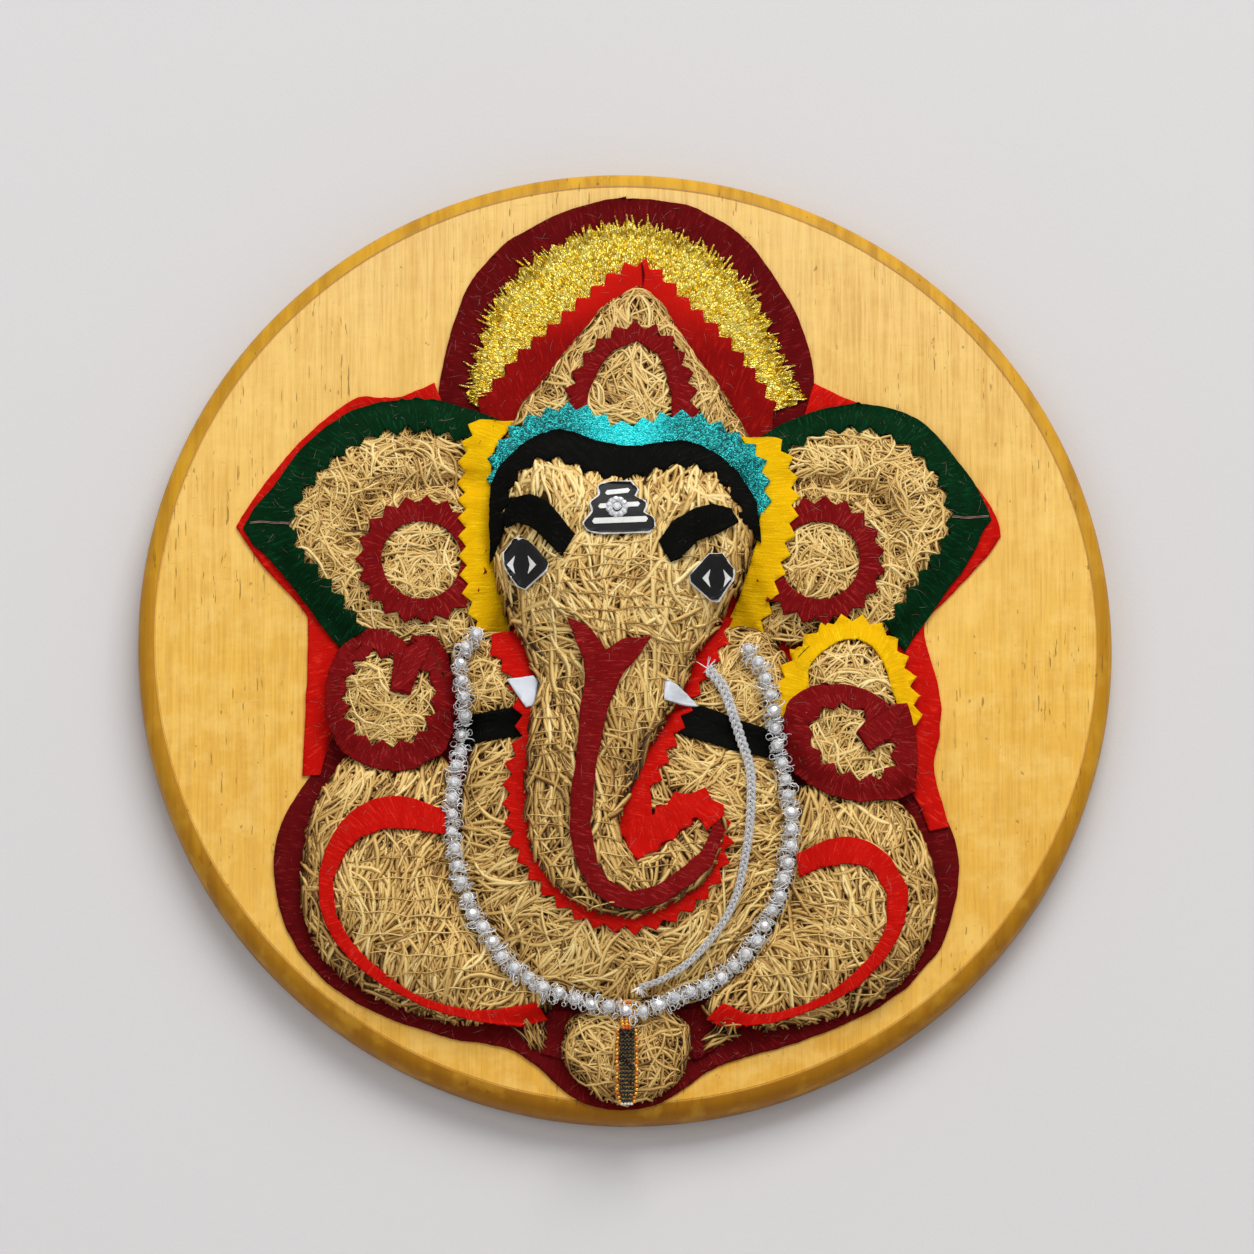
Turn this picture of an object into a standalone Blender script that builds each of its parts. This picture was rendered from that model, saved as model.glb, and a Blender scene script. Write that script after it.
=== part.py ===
"""Round wooden wall hanging with a Ganesha figure made of padded root-fibre mats and cut velvet.

Every layer is drawn as a flat outline, cut along one shared grid of triangles and laid on the
layers below it, so that neighbours touch with an even gap. Metres, +Z up, the front faces -Y.
"""
import math

import bmesh
import bpy
from mathutils import Matrix, Vector

# Driving dimensions, in metres
BOARD_DIAMETER = 0.300
BOARD_THICKNESS = 0.012
BOARD_ROUNDING = 0.0048
HOOK_HOLE_DIAMETER = 0.008
HOOK_HOLE_DEPTH = 0.007
HOOK_HOLE_HEIGHT = BOARD_DIAMETER * 0.383
FIGURE_HEIGHT = BOARD_DIAMETER * 0.96
VELVET = 0.0008
GAP = 0.0003
PAD_LIP = 0.0022
EAR_RISE = 0.0085
CROWN_RISE = 0.0080
BELLY_RISE = 0.0135
LEG_RISE = 0.0135
HAND_RISE = 0.0120
ARM_RISE = 0.0100
FOOT_RISE = 0.0085
HEAD_RISE = 0.0250
TOOTH_PITCH = 0.0062
TOOTH_DEPTH = 0.0026
EAR_RING_RADIUS = 0.0157
EAR_RING_WIDTH = 0.0068
GARLAND_RADIUS = 0.0026
GARLAND_PITCH = 0.0045
BRAID_RADIUS = 0.0017
BRAID_PITCH = 0.0060
STONE_RADIUS = 0.0035
STONE_THICKNESS = 0.0016
PENDANT_BEAD = 0.0042
TUSK_THICKNESS = 0.0012
STICKER = 0.0006
GRID_X = 0.0126
GRID_Z = 0.0130

# How the photograph shows the figure: picture points are turned into sizes with these
PICTURE_FIGURE_SPAN = 936.0
PICTURE_CENTRE_X = 626.0
PICTURE_CENTRE_Y = 642.0
LOOK_UP = math.radians(13.7)
LOOK_LEFT = math.radians(2.0)
LOOK_DISTANCE = 5.0

# About how far each pad's outline stands above the board's face, to read it off the photograph
LEVEL = {"cone": 0.006, "ear": 0.006, "belly": 0.008, "arm": 0.009, "leg": 0.008, "foot": 0.006,
         "hand": 0.011, "head": 0.018}

# How far in from its edge each pad reaches its full height
REACH = {"crown": 0.012, "ear": 0.013, "belly": 0.026, "arm": 0.010, "leg": 0.022,
         "foot": 0.012, "hand": 0.011, "head": 0.016}

BOARD_SIDES = 80
RING_SIDES = 28
FINE_STEP = 0.0055
SMOOTH_STEP = 0.0070
PAD_STEP = 0.0090
BROAD_STEP = 0.0120
MERGE = 0.00004
FLAT = 0.0002
STRAIGHT = 0.9999999
SIGHT_STEPS = 12


def reset():
    for item in list(bpy.data.objects):
        bpy.data.objects.remove(item, do_unlink=True)


def at(px, py, rise=0.0):
    """A picture point, as a place on the figure that stands `rise` above the board's face."""
    scale = FIGURE_HEIGHT / PICTURE_FIGURE_SPAN * (1.0 - rise / LOOK_DISTANCE)
    x = (px - PICTURE_CENTRE_X) * scale - rise * math.sin(LOOK_LEFT)
    z = ((PICTURE_CENTRE_Y - py) * scale - rise * math.sin(LOOK_UP)) / math.cos(LOOK_UP)
    return Vector((x, z))


def spots(rise, *pairs):
    return [at(px, py, rise) for px, py in pairs]


def smooth(points, closed=False, step=SMOOTH_STEP):
    """A soft curve through the given points, sampled about every `step`."""
    n = len(points)
    out = []
    for i in range(n if closed else n - 1):
        if closed:
            a, b, c, d = (points[(i + k) % n] for k in (-1, 0, 1, 2))
        else:
            a, b = points[max(i - 1, 0)], points[i]
            c, d = points[i + 1], points[min(i + 2, n - 1)]
        count = max(1, round((c - b).length / step))
        for k in range(count):
            t = k / count
            out.append(0.5 * (2 * b + (c - a) * t + (2 * a - 5 * b + 4 * c - d) * t * t
                              + (3 * b - a - 3 * c + d) * t ** 3))
    if not closed:
        out.append(points[-1].copy())
    return out


def lengths(path):
    total = [0.0]
    for a, b in zip(path, path[1:]):
        total.append(total[-1] + (b - a).length)
    return total


def walk(path, distance, total):
    """The point at a distance along the path, and the direction there."""
    for i in range(1, len(path)):
        if total[i] >= distance or i == len(path) - 1:
            span = max(total[i] - total[i - 1], 1e-9)
            way = (path[i] - path[i - 1]) / span
            return path[i - 1] + way * (distance - total[i - 1]), way
    return path[-1], Vector((1.0, 0.0))


def pinked(path, side=1.0, depth=TOOTH_DEPTH, pitch=TOOTH_PITCH):
    """The zigzag that pinking shears leave along a path, with its teeth on the given side."""
    total = lengths(path)
    count = max(1, round(total[-1] / pitch))
    out = []
    for k in range(2 * count + 1):
        spot, way = walk(path, total[-1] * k / (2 * count), total)
        normal = Vector((way.y, -way.x))
        out.append(spot + normal * side * depth * (0.5 if k % 2 else -0.5))
    return out


def circle(centre, radius, count, start=0.0):
    return [centre + radius * Vector((math.cos(start + math.tau * k / count),
                                      math.sin(start + math.tau * k / count)))
            for k in range(count)]


def ring_teeth(centre, radius, start=0.0):
    count = max(6, round(math.tau * radius / TOOTH_PITCH))
    out = []
    for k in range(2 * count):
        angle = start + math.tau * k / (2 * count)
        size = radius + TOOTH_DEPTH * (0.5 if k % 2 else -0.5)
        out.append(centre + size * Vector((math.cos(angle), math.sin(angle))))
    return out


def edge_distance(spot, outline):
    """Distance to an outline, positive inside it and negative outside."""
    nearest, inside = 1e9, False
    for a, b in zip(outline, outline[1:] + outline[:1]):
        span = b - a
        share = max(0.0, min(1.0, (spot - a).dot(span) / max(span.length_squared, 1e-12)))
        nearest = min(nearest, (a + span * share - spot).length)
        if (a.y > spot.y) != (b.y > spot.y):
            if spot.x < a.x + (spot.y - a.y) / (b.y - a.y) * span.x:
                inside = not inside
    return nearest if inside else -nearest


class Stack:
    """The height reached so far at each node of the shared grid, above the back of the board."""

    def __init__(self):
        self.top = {}

    def reached(self, node):
        return self.top.get(node, BOARD_THICKNESS)

    @staticmethod
    def place(node):
        return Vector((node[0] * GRID_X, node[1] * GRID_Z))

    @staticmethod
    def triangle(x, z):
        i, j = math.floor(x / GRID_X), math.floor(z / GRID_Z)
        if x / GRID_X - i + z / GRID_Z - j < 1.0:
            return (i, j), (i + 1, j), (i, j + 1)
        return (i + 1, j + 1), (i, j + 1), (i + 1, j)

    def mix(self, values, corners, x, z):
        u, v = x / GRID_X, z / GRID_Z
        a, b, c = corners
        if a[0] < b[0]:
            s, t = u - a[0], v - a[1]
        else:
            s, t = a[0] - u, a[1] - v
        return values[a] * (1 - s - t) + values[b] * s + values[c] * t

    def height(self, x, z):
        corners = self.triangle(x, z)
        return self.mix({node: self.reached(node) for node in corners}, corners, x, z)


STACK = Stack()


def on_top(*pairs):
    """Picture points, as places on what is laid there so far: each is found on its line of sight."""
    places = []
    for px, py in pairs:
        rise = 0.0
        for _ in range(SIGHT_STEPS):
            spot = at(px, py, rise)
            rise = (rise + STACK.height(spot.x, spot.y) - BOARD_THICKNESS) / 2
        places.append(at(px, py, rise))
    return places


def new_object(name, mesh, group, colour, rough=0.8, metal=0.0):
    item = bpy.data.objects.new(name, mesh)
    group.objects.link(item)
    material = bpy.data.materials.new(name + "_material")
    material.use_nodes = True
    shader = material.node_tree.nodes["Principled BSDF"]
    shader.inputs["Base Color"].default_value = (*colour, 1.0)
    shader.inputs["Roughness"].default_value = rough
    shader.inputs["Metallic"].default_value = metal
    mesh.materials.clear()
    mesh.materials.append(material)
    return item


def filled(outlines):
    """A flat filled shape; outlines after the first are holes."""
    curve = bpy.data.curves.new("outline", "CURVE")
    curve.dimensions, curve.fill_mode = "2D", "BOTH"
    for outline in outlines:
        spline = curve.splines.new("POLY")
        spline.points.add(len(outline) - 1)
        for point, spot in zip(spline.points, outline):
            point.co = (spot.x, spot.y, 0.0, 1.0)
        spline.use_cyclic_u = True
    holder = bpy.data.objects.new("outline", curve)
    mesh = bpy.data.meshes.new_from_object(holder)
    bpy.data.objects.remove(holder)
    return mesh


def cut_to_grid(shape):
    xs, zs = [v.co.x for v in shape.verts], [v.co.y for v in shape.verts]
    cuts = [((k * GRID_X, 0, 0), (1, 0, 0))
            for k in range(math.ceil(min(xs) / GRID_X), math.floor(max(xs) / GRID_X) + 1)]
    cuts += [((0, k * GRID_Z, 0), (0, 1, 0))
             for k in range(math.ceil(min(zs) / GRID_Z), math.floor(max(zs) / GRID_Z) + 1)]
    low = min(x / GRID_X + z / GRID_Z for x, z in zip(xs, zs))
    high = max(x / GRID_X + z / GRID_Z for x, z in zip(xs, zs))
    cuts += [((k * GRID_X, 0, 0), Vector((1 / GRID_X, 1 / GRID_Z, 0)).normalized())
             for k in range(math.ceil(low), math.floor(high) + 1)]
    for place, normal in cuts:
        bmesh.ops.bisect_plane(shape, geom=shape.verts[:] + shape.edges[:] + shape.faces[:],
                               dist=MERGE, plane_co=place, plane_no=normal)


def tilt(values, corners):
    """The slopes of the plane through three neighbouring nodes, along X and along Z."""
    a, b, c = corners
    turn = 1.0 if a[0] < b[0] else -1.0
    return turn * (values[b] - values[a]) / GRID_X, turn * (values[c] - values[a]) / GRID_Z


def join_flats(shape, slopes):
    """Joins neighbouring faces that lie in one plane, and drops points along straight edges."""
    def same(edge):
        if len(edge.link_faces) != 2 or any(face not in slopes for face in edge.link_faces):
            return False
        one, two = (slopes[face] for face in edge.link_faces)
        return abs(one[0] - two[0]) < FLAT and abs(one[1] - two[1]) < FLAT
    bmesh.ops.dissolve_edges(shape, edges=[e for e in shape.edges if same(e)], use_verts=True)
    upright = []
    for edge in shape.edges:
        one, two = edge.verts
        if (one.co - two.co).xy.length > MERGE / 10 or len(one.link_edges) != 3:
            continue
        if len(two.link_edges) == 3 and all(straight(vert, edge) for vert in (one, two)):
            upright.append(edge)
    bmesh.ops.dissolve_edges(shape, edges=upright, use_verts=True)
    bmesh.ops.triangulate(shape, faces=[f for f in shape.faces if len(f.verts) > 4])


def straight(vert, upright):
    ways = [(edge.other_vert(vert).co - vert.co).normalized()
            for edge in vert.link_edges if edge is not upright]
    return ways[0].dot(ways[1]) < -STRAIGHT


def lay(name, outlines, group, colour, thick=VELVET, crest=None, reach=1.0, lip=PAD_LIP,
        rough=0.85, metal=0.0):
    """Lays a sheet, or a domed pad when `crest` gives its height above the board."""
    if not isinstance(outlines[0], list):
        outlines = [outlines]
    shape = bmesh.new()
    shape.from_mesh(filled(outlines))
    bmesh.ops.remove_doubles(shape, verts=shape.verts[:], dist=MERGE)
    cut_to_grid(shape)
    bmesh.ops.remove_doubles(shape, verts=shape.verts[:], dist=MERGE)
    owner, nodes = {}, set()
    for face in shape.faces:
        middle = face.calc_center_median()
        corners = STACK.triangle(middle.x, middle.y)
        nodes.update(corners)
        for vert in face.verts:
            owner[vert] = corners
    low = {node: STACK.reached(node) + GAP for node in nodes}
    if crest is None:
        high = {node: low[node] + thick for node in nodes}
    else:
        soft = dict(low)
        for _ in range(3):
            soft = {(i, j): sum(soft.get(near, soft[(i, j)]) for near in
                                ((i, j), (i + 1, j), (i - 1, j), (i, j + 1), (i, j - 1))) / 5.0
                    for i, j in soft}
        high = {}
        for node in nodes:
            spot = Stack.place(node)
            share = min(1.0, edge_distance(spot, outlines[0]) / reach)
            peak = crest(spot) if callable(crest) else crest
            dome = BOARD_THICKNESS + lip + (peak - lip) * (1.0 - (1.0 - share) ** 2)
            high[node] = max(low[node] + lip, min(soft[node] + lip, dome + lip), dome)
    ends = {}
    for vert in shape.verts:
        x, z = vert.co.x, vert.co.y
        ends[vert] = (STACK.mix(low, owner[vert], x, z), STACK.mix(high, owner[vert], x, z))
    for node in nodes:
        STACK.top[node] = max(STACK.reached(node), high[node])
    tops = {(round(v.co.x, 7), round(v.co.y, 7)): ends[v][1] for v in shape.verts}
    slope = {}
    for face in shape.faces:
        middle = face.calc_center_median()
        corners = STACK.triangle(middle.x, middle.y)
        slope[face] = [tilt(values, corners) for values in (low, high)]
    below = {face: slope[face][0] for face in shape.faces}
    above_at = {(round(f.calc_center_median().x, 7), round(f.calc_center_median().y, 7)):
                slope[f][1] for f in shape.faces}
    for vert in shape.verts:
        vert.co.z = ends[vert][0]
    grown = bmesh.ops.extrude_face_region(shape, geom=shape.faces[:])
    for vert in (item for item in grown["geom"] if isinstance(item, bmesh.types.BMVert)):
        vert.co.z = tops[(round(vert.co.x, 7), round(vert.co.y, 7))]
    for face in (item for item in grown["geom"] if isinstance(item, bmesh.types.BMFace)):
        middle = face.calc_center_median()
        below[face] = above_at[(round(middle.x, 7), round(middle.y, 7))]
    bmesh.ops.recalc_face_normals(shape, faces=shape.faces[:])
    join_flats(shape, below)
    mesh = bpy.data.meshes.new(name)
    shape.to_mesh(mesh)
    shape.free()
    return stand(new_object(name, mesh, group, colour, rough, metal))


def stand(item):
    """Turns a piece modelled lying down upright, and puts its origin at its own centre."""
    item.data.transform(Matrix.Rotation(math.pi / 2, 4, "X"))
    corners = [Vector(v.co) for v in item.data.vertices]
    middle = Vector([(min(c[k] for c in corners) + max(c[k] for c in corners)) / 2
                     for k in range(3)])
    item.data.transform(Matrix.Translation(-middle))
    item.location = middle
    return item


def highest(x, z, around):
    near = [(x, z)] + [(x + around * math.cos(math.tau * k / 12),
                        z + around * math.sin(math.tau * k / 12)) for k in range(12)]
    return max(STACK.height(*spot) for spot in near)


def tube(name, path, radii, group, colour, sides=6, rough=0.4, metal=0.0, ease=2):
    """A closed chain or cord that lies along a path over the layers below it."""
    widest = max(radii)
    heights = [highest(s.x, s.y, widest * 1.5) + widest * 1.12 + GAP for s in path]
    heights = [max(heights[max(i - ease, 0):i + ease + 1]) for i in range(len(heights))]
    heights = [sum(heights[max(i - 1, 0):i + 2]) / len(heights[max(i - 1, 0):i + 2])
               if 0 < i < len(heights) - 1 else heights[i] for i in range(len(heights))]
    heights = [max(h, highest(s.x, s.y, widest * 1.5) + widest * 1.12 + GAP)
               for h, s in zip(heights, path)]
    line = [Vector((s.x, s.y, h)) for s, h in zip(path, heights)]
    shape, rings = bmesh.new(), []
    for i, centre in enumerate(line):
        way = (line[min(i + 1, len(line) - 1)] - line[max(i - 1, 0)]).normalized()
        across = way.cross(Vector((0, 0, 1))).normalized()
        up = across.cross(way)
        rings.append([shape.verts.new(centre + radii[i] * (
            across * math.cos(math.tau * k / sides) + up * math.sin(math.tau * k / sides)))
            for k in range(sides)])
    for one, two in zip(rings, rings[1:]):
        for k in range(sides):
            shape.faces.new((one[k], one[(k + 1) % sides], two[(k + 1) % sides], two[k]))
    shape.faces.new(rings[0][::-1])
    shape.faces.new(rings[-1])
    bmesh.ops.recalc_face_normals(shape, faces=shape.faces[:])
    mesh = bpy.data.meshes.new(name)
    shape.to_mesh(mesh)
    shape.free()
    item = new_object(name, mesh, group, colour, rough, metal)
    for face in mesh.polygons:
        face.use_smooth = len(face.vertices) == 4
    return stand(item)


def add_board(parts, cutters):
    """The turned board: a disc with its front edge rounded, and a blind hole for a hook."""
    radius, steps = BOARD_DIAMETER / 2, 3
    outline = [(0.0, 0.0), (radius, 0.0)]
    outline += [(radius - BOARD_ROUNDING * (1 - math.cos(math.pi / 2 * k / steps)),
                 BOARD_THICKNESS - BOARD_ROUNDING * (1 - math.sin(math.pi / 2 * k / steps)))
                for k in range(steps + 1)]
    outline += [(0.0, BOARD_THICKNESS)]
    mesh = bpy.data.meshes.new("board")
    mesh.from_pydata([(r, 0.0, h) for r, h in outline],
                     [(k, k + 1) for k in range(len(outline) - 1)], [])
    board = new_object("board", mesh, parts, (0.78, 0.50, 0.18), 0.35)
    screw = board.modifiers.new("turned", "SCREW")
    screw.steps = screw.render_steps = BOARD_SIDES
    screw.use_merge_vertices = True
    screw.merge_threshold = MERGE
    screw.use_normal_calculate = True
    bpy.ops.mesh.primitive_cylinder_add(vertices=24, radius=HOOK_HOLE_DIAMETER / 2,
                                        depth=HOOK_HOLE_DEPTH * 2,
                                        location=(0, HOOK_HOLE_HEIGHT, 0))
    cutter = bpy.context.object
    cutter.name = "hook_hole_cutter"
    for home in list(cutter.users_collection):
        home.objects.unlink(cutter)
    cutters.objects.link(cutter)
    cutter.hide_render, cutter.display_type = True, "WIRE"
    hole = board.modifiers.new("hook_hole", "BOOLEAN")
    hole.operation, hole.solver, hole.object = "DIFFERENCE", "EXACT", cutter
    bpy.context.view_layer.update()
    shaped = bpy.data.meshes.new_from_object(board.evaluated_get(
        bpy.context.evaluated_depsgraph_get()))
    board.modifiers.clear()
    board.data = shaped
    tidy = bmesh.new()
    tidy.from_mesh(shaped)
    bmesh.ops.recalc_face_normals(tidy, faces=tidy.faces[:])
    bmesh.ops.dissolve_limit(tidy, angle_limit=0.001, verts=tidy.verts[:], edges=tidy.edges[:])
    bmesh.ops.triangulate(tidy, faces=[f for f in tidy.faces if len(f.verts) > 4])
    tidy.to_mesh(shaped)
    tidy.free()
    cutter.data.transform(Matrix.Rotation(math.pi / 2, 4, "X"))
    cutter.location = (0, 0, HOOK_HOLE_HEIGHT)
    return stand(board)


MAROON = (0.20, 0.006, 0.012)
RED = (0.62, 0.010, 0.008)
DARK_RED = (0.38, 0.010, 0.010)
GREEN = (0.004, 0.050, 0.016)
YELLOW = (0.90, 0.55, 0.01)
TURQUOISE = (0.01, 0.40, 0.50)
GOLD = (0.75, 0.48, 0.05)
BLACK = (0.010, 0.010, 0.009)
ROOT = (0.52, 0.35, 0.16)
SILVER = (0.62, 0.64, 0.67)
WHITE = (0.72, 0.75, 0.80)


def add_backing(parts):
    lower = smooth(on_top((345, 700), (325, 760), (303, 790), (284, 822), (275, 860),
                         (280, 906), (298, 949), (332, 986), (378, 1013), (454, 1038),
                         (507, 1047), (534, 1062), (554, 1080), (575, 1096), (600, 1105),
                         (625, 1107), (654, 1102), (679, 1088), (714, 1065), (741, 1055),
                         (780, 1044), (860, 1013), (912, 977), (943, 937), (955, 894),
                         (958, 860), (950, 825), (925, 780), (905, 700)), step=BROAD_STEP)
    lay("backing_maroon", lower, parts, MAROON)
    dome = on_top((450, 500), (436, 440), (438, 390), (444, 355), (469, 283),
                 (517, 234), (564, 210), (623, 196), (681, 201), (737, 229), (778, 278),
                 (805, 331), (814, 369), (812, 440), (800, 500))
    lay("crown_maroon", smooth(dome, step=BROAD_STEP), parts, MAROON)
    upper = on_top((235, 530), (262, 490), (300, 444), (352, 402), (400, 398), (434, 383),
                  (450, 430), (626, 470), (800, 430), (815, 380), (852, 398), (920, 420),
                  (965, 470), (984, 492), (998, 517), (1002, 533), (982, 560), (953, 590),
                  (925, 619), (926, 640), (940, 692), (940, 735), (934, 767), (949, 824), (929, 828), (908, 785), (850, 720),
                  (400, 720), (332, 735), (321, 778), (303, 778), (306, 701), (308, 640),
                  (300, 610), (262, 568))
    lay("backing_red", upper, parts, RED)


def add_crown(parts):
    gold_out = smooth(on_top((468, 403), (476, 358), (497, 299), (535, 258), (582, 233),
                            (626, 222), (664, 228), (708, 249), (752, 289), (778, 346), (801, 400)))
    gold_in = smooth(on_top((486, 410), (500, 396), (530, 360), (570, 326), (608, 292),
                           (643, 268), (680, 305), (716, 342), (750, 383), (768, 410)))
    lay("crown_gold", pinked(gold_out, -1.0) + gold_in[::-1], parts, GOLD, rough=0.3, metal=0.9)
    red_out = smooth(on_top((475, 402), (491, 387), (517, 355), (558, 320), (599, 283),
                           (643, 258), (687, 299), (725, 334), (758, 375), (778, 410)))
    lay("crown_red", pinked(red_out, -1.0) + on_top((770, 450), (626, 470), (490, 450)),
        parts, DARK_RED)
    cone = smooth(spots(LEVEL["cone"], (500, 450), (517, 412), (552, 368), (576, 336), (611, 297),
                        (640, 281), (662, 299), (687, 341), (717, 379), (742, 420), (757, 450)))
    lay("crown_pad", cone + spots(LEVEL["cone"], (700, 500), (560, 500)), parts, ROOT,
        crest=CROWN_RISE, reach=REACH["crown"])
    arch_out = smooth(on_top((565, 420), (567, 392), (590, 350), (627, 324), (652, 325),
                            (680, 350), (694, 392), (696, 420)))
    arch_in = smooth(on_top((672, 424), (671, 395), (660, 356), (637, 340), (612, 352),
                           (590, 388), (587, 424)))
    lay("crown_arch", pinked(arch_out, -1.0) + arch_in, parts, MAROON)


def add_ear(parts, side, pad, band_out, band_in, ring):
    lay("ear_pad_" + side, smooth(spots(LEVEL["ear"], *pad), True, SMOOTH_STEP), parts, ROOT,
        crest=EAR_RISE, reach=REACH["ear"])
    outer = smooth(on_top(*band_out))
    inner = smooth(on_top(*band_in))
    turn = -1.0 if side == "L" else 1.0
    lay("ear_green_" + side, outer + pinked(inner, turn), parts, GREEN)
    centre = on_top(ring)[0]
    lay("ear_ring_" + side, [ring_teeth(centre, EAR_RING_RADIUS + EAR_RING_WIDTH / 2),
                             circle(centre, EAR_RING_RADIUS - EAR_RING_WIDTH / 2, RING_SIDES)],
        parts, MAROON)


def add_ears(parts):
    add_ear(parts, "L",
            [(500, 440), (448, 412), (400, 410), (356, 424), (316, 456), (288, 500), (282, 545),
             (304, 580), (340, 622), (375, 643), (430, 650), (480, 648), (510, 560)],
            [(500, 417), (448, 401), (406, 399), (354, 409), (307, 442), (272, 487), (243, 530),
             (270, 561), (307, 608), (339, 648)],
            [(365, 634), (348, 611), (322, 578), (300, 556), (291, 520), (306, 490), (326, 466),
             (352, 448), (378, 436), (410, 431), (440, 435), (475, 446)],
            (421, 562))
    add_ear(parts, "R",
            [(750, 450), (797, 430), (840, 414), (880, 414), (920, 432), (948, 466), (962, 508),
             (948, 552), (925, 590), (895, 622), (860, 640), (800, 640), (760, 630), (735, 560)],
            [(760, 433), (787, 417), (821, 404), (860, 399), (899, 406), (930, 422), (958, 455),
             (973, 475), (986, 498), (993, 514), (984, 527), (979, 541), (965, 564), (939, 600),
             (917, 630), (906, 648)],
            [(886, 622), (902, 600), (928, 563), (944, 543), (953, 515), (943, 485), (930, 462),
             (906, 442), (880, 430), (850, 426), (820, 432), (785, 452)],
            (820, 559))


def add_head_trims(parts):
    top = smooth(on_top((490, 490), (492, 451), (513, 425), (564, 406), (591, 410), (617, 425),
                        (646, 420), (670, 413), (693, 412), (725, 424), (748, 438), (766, 466),
                        (768, 510)))
    lay("headband_turquoise", pinked(top, -1.0)
        + on_top((752, 524), (740, 500), (700, 462), (626, 470), (550, 462), (512, 500)), parts,
        TURQUOISE)
    left_edge = smooth(on_top((475, 418), (462, 452), (462, 500), (462, 560), (466, 600),
                              (481, 642)))
    lay("temple_strip_L", pinked(left_edge, 1.0)
        + on_top((511, 637), (500, 560), (492, 500), (491, 456), (502, 434), (515, 415)), parts,
        YELLOW)
    right_edge = smooth(on_top((774, 432), (792, 460), (797, 500), (789, 545), (776, 590),
                               (757, 640)))
    lay("temple_strip_R", pinked(right_edge, -1.0)
        + on_top((722, 632), (738, 600), (748, 570), (757, 540), (762, 505), (761, 470),
                 (752, 449), (742, 432)), parts, YELLOW)


def add_body(parts):
    belly = spots(LEVEL["belly"], (500, 690), (560, 680), (690, 680), (750, 700), (782, 760),
                  (792, 840), (780, 905), (745, 955), (700, 990), (628, 1008), (560, 995),
                  (510, 960), (470, 905), (460, 840), (470, 760))
    lay("belly_pad", smooth(belly, True, PAD_STEP), parts, ROOT, crest=BELLY_RISE,
        reach=REACH["belly"])
    for side, outline in (("L", [(455, 640), (500, 632), (560, 650), (560, 712), (470, 716),
                                 (455, 690)]),
                          ("R", [(690, 640), (740, 622), (788, 650), (790, 735), (740, 728),
                                 (690, 710)])):
        lay("upper_arm_pad_" + side, smooth(spots(LEVEL["arm"], *outline), True, PAD_STEP), parts, ROOT,
            crest=ARM_RISE, reach=REACH["arm"])
    lay("waist_band_L", on_top((465, 716), (500, 711), (560, 703), (560, 729), (510, 737),
                              (465, 744)), parts, BLACK)
    lay("waist_band_R", on_top((672, 712), (701, 706), (735, 718), (786, 735), (788, 760),
                              (735, 748), (690, 736), (672, 728)), parts, BLACK)


def add_legs(parts):
    ankle = [(535, 1010), (590, 1006), (590, 1040), (563, 1056), (541, 1052)]
    lay("ankle_maroon_L", on_top(*ankle), parts, MAROON)
    ankle = [(665, 1006), (712, 1004), (714, 1046), (693, 1056), (665, 1040)]
    lay("ankle_maroon_R", on_top(*ankle), parts, MAROON)
    leg = [(440, 752), (400, 748), (350, 752), (324, 786), (308, 835), (303, 880), (312, 930),
           (345, 974), (400, 1002), (460, 1018), (520, 1016), (556, 1000), (520, 965),
           (480, 915), (461, 870), (457, 820), (457, 775)]
    lay("leg_pad_L", smooth(spots(LEVEL["leg"], *leg), True, PAD_STEP), parts, ROOT,
        crest=LEG_RISE, reach=REACH["leg"])
    leg = [(790, 785), (840, 778), (890, 782), (915, 815), (935, 870), (934, 915), (916, 955),
           (880, 990), (830, 1010), (770, 1022), (715, 1016), (698, 1002), (740, 965),
           (776, 920), (789, 870), (790, 830)]
    lay("leg_pad_R", smooth(spots(LEVEL["leg"], *leg), True, PAD_STEP), parts, ROOT,
        crest=LEG_RISE, reach=REACH["leg"])
    foot = [(563, 1051), (568, 1018), (600, 1000), (660, 1000), (688, 1020), (691, 1046), (679, 1074),
            (655, 1092), (628, 1099), (600, 1092), (577, 1073)]
    lay("foot_pad", smooth(spots(LEVEL["foot"], *foot), True, PAD_STEP), parts, ROOT,
        crest=FOOT_RISE, reach=REACH["foot"])
    outer = [(446, 813), (405, 799), (369, 804), (341, 827), (323, 863), (320, 900), (332, 937),
             (362, 971), (399, 995), (442, 1013), (491, 1022), (528, 1021), (549, 1014)]
    inner = [(537, 1000), (509, 1007), (473, 1010), (424, 998), (387, 975), (356, 947), (337, 915),
             (334, 882), (345, 857), (362, 839), (387, 830), (411, 831), (446, 837)]
    lay("leg_band_L", smooth(on_top(*outer))
        + smooth(on_top(*inner)), parts, RED)
    outer = [(796, 854), (824, 839), (860, 837), (891, 857), (906, 885), (903, 922), (885, 955),
             (854, 986), (814, 1007), (771, 1020), (722, 1022), (706, 1014)]
    inner = [(722, 1000), (747, 1011), (784, 1008), (828, 990), (867, 956), (886, 920), (886, 891),
             (872, 869), (851, 862), (824, 865), (798, 877)]
    lay("leg_band_R", smooth(on_top(*outer))
        + smooth(on_top(*inner)), parts, RED)


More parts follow.
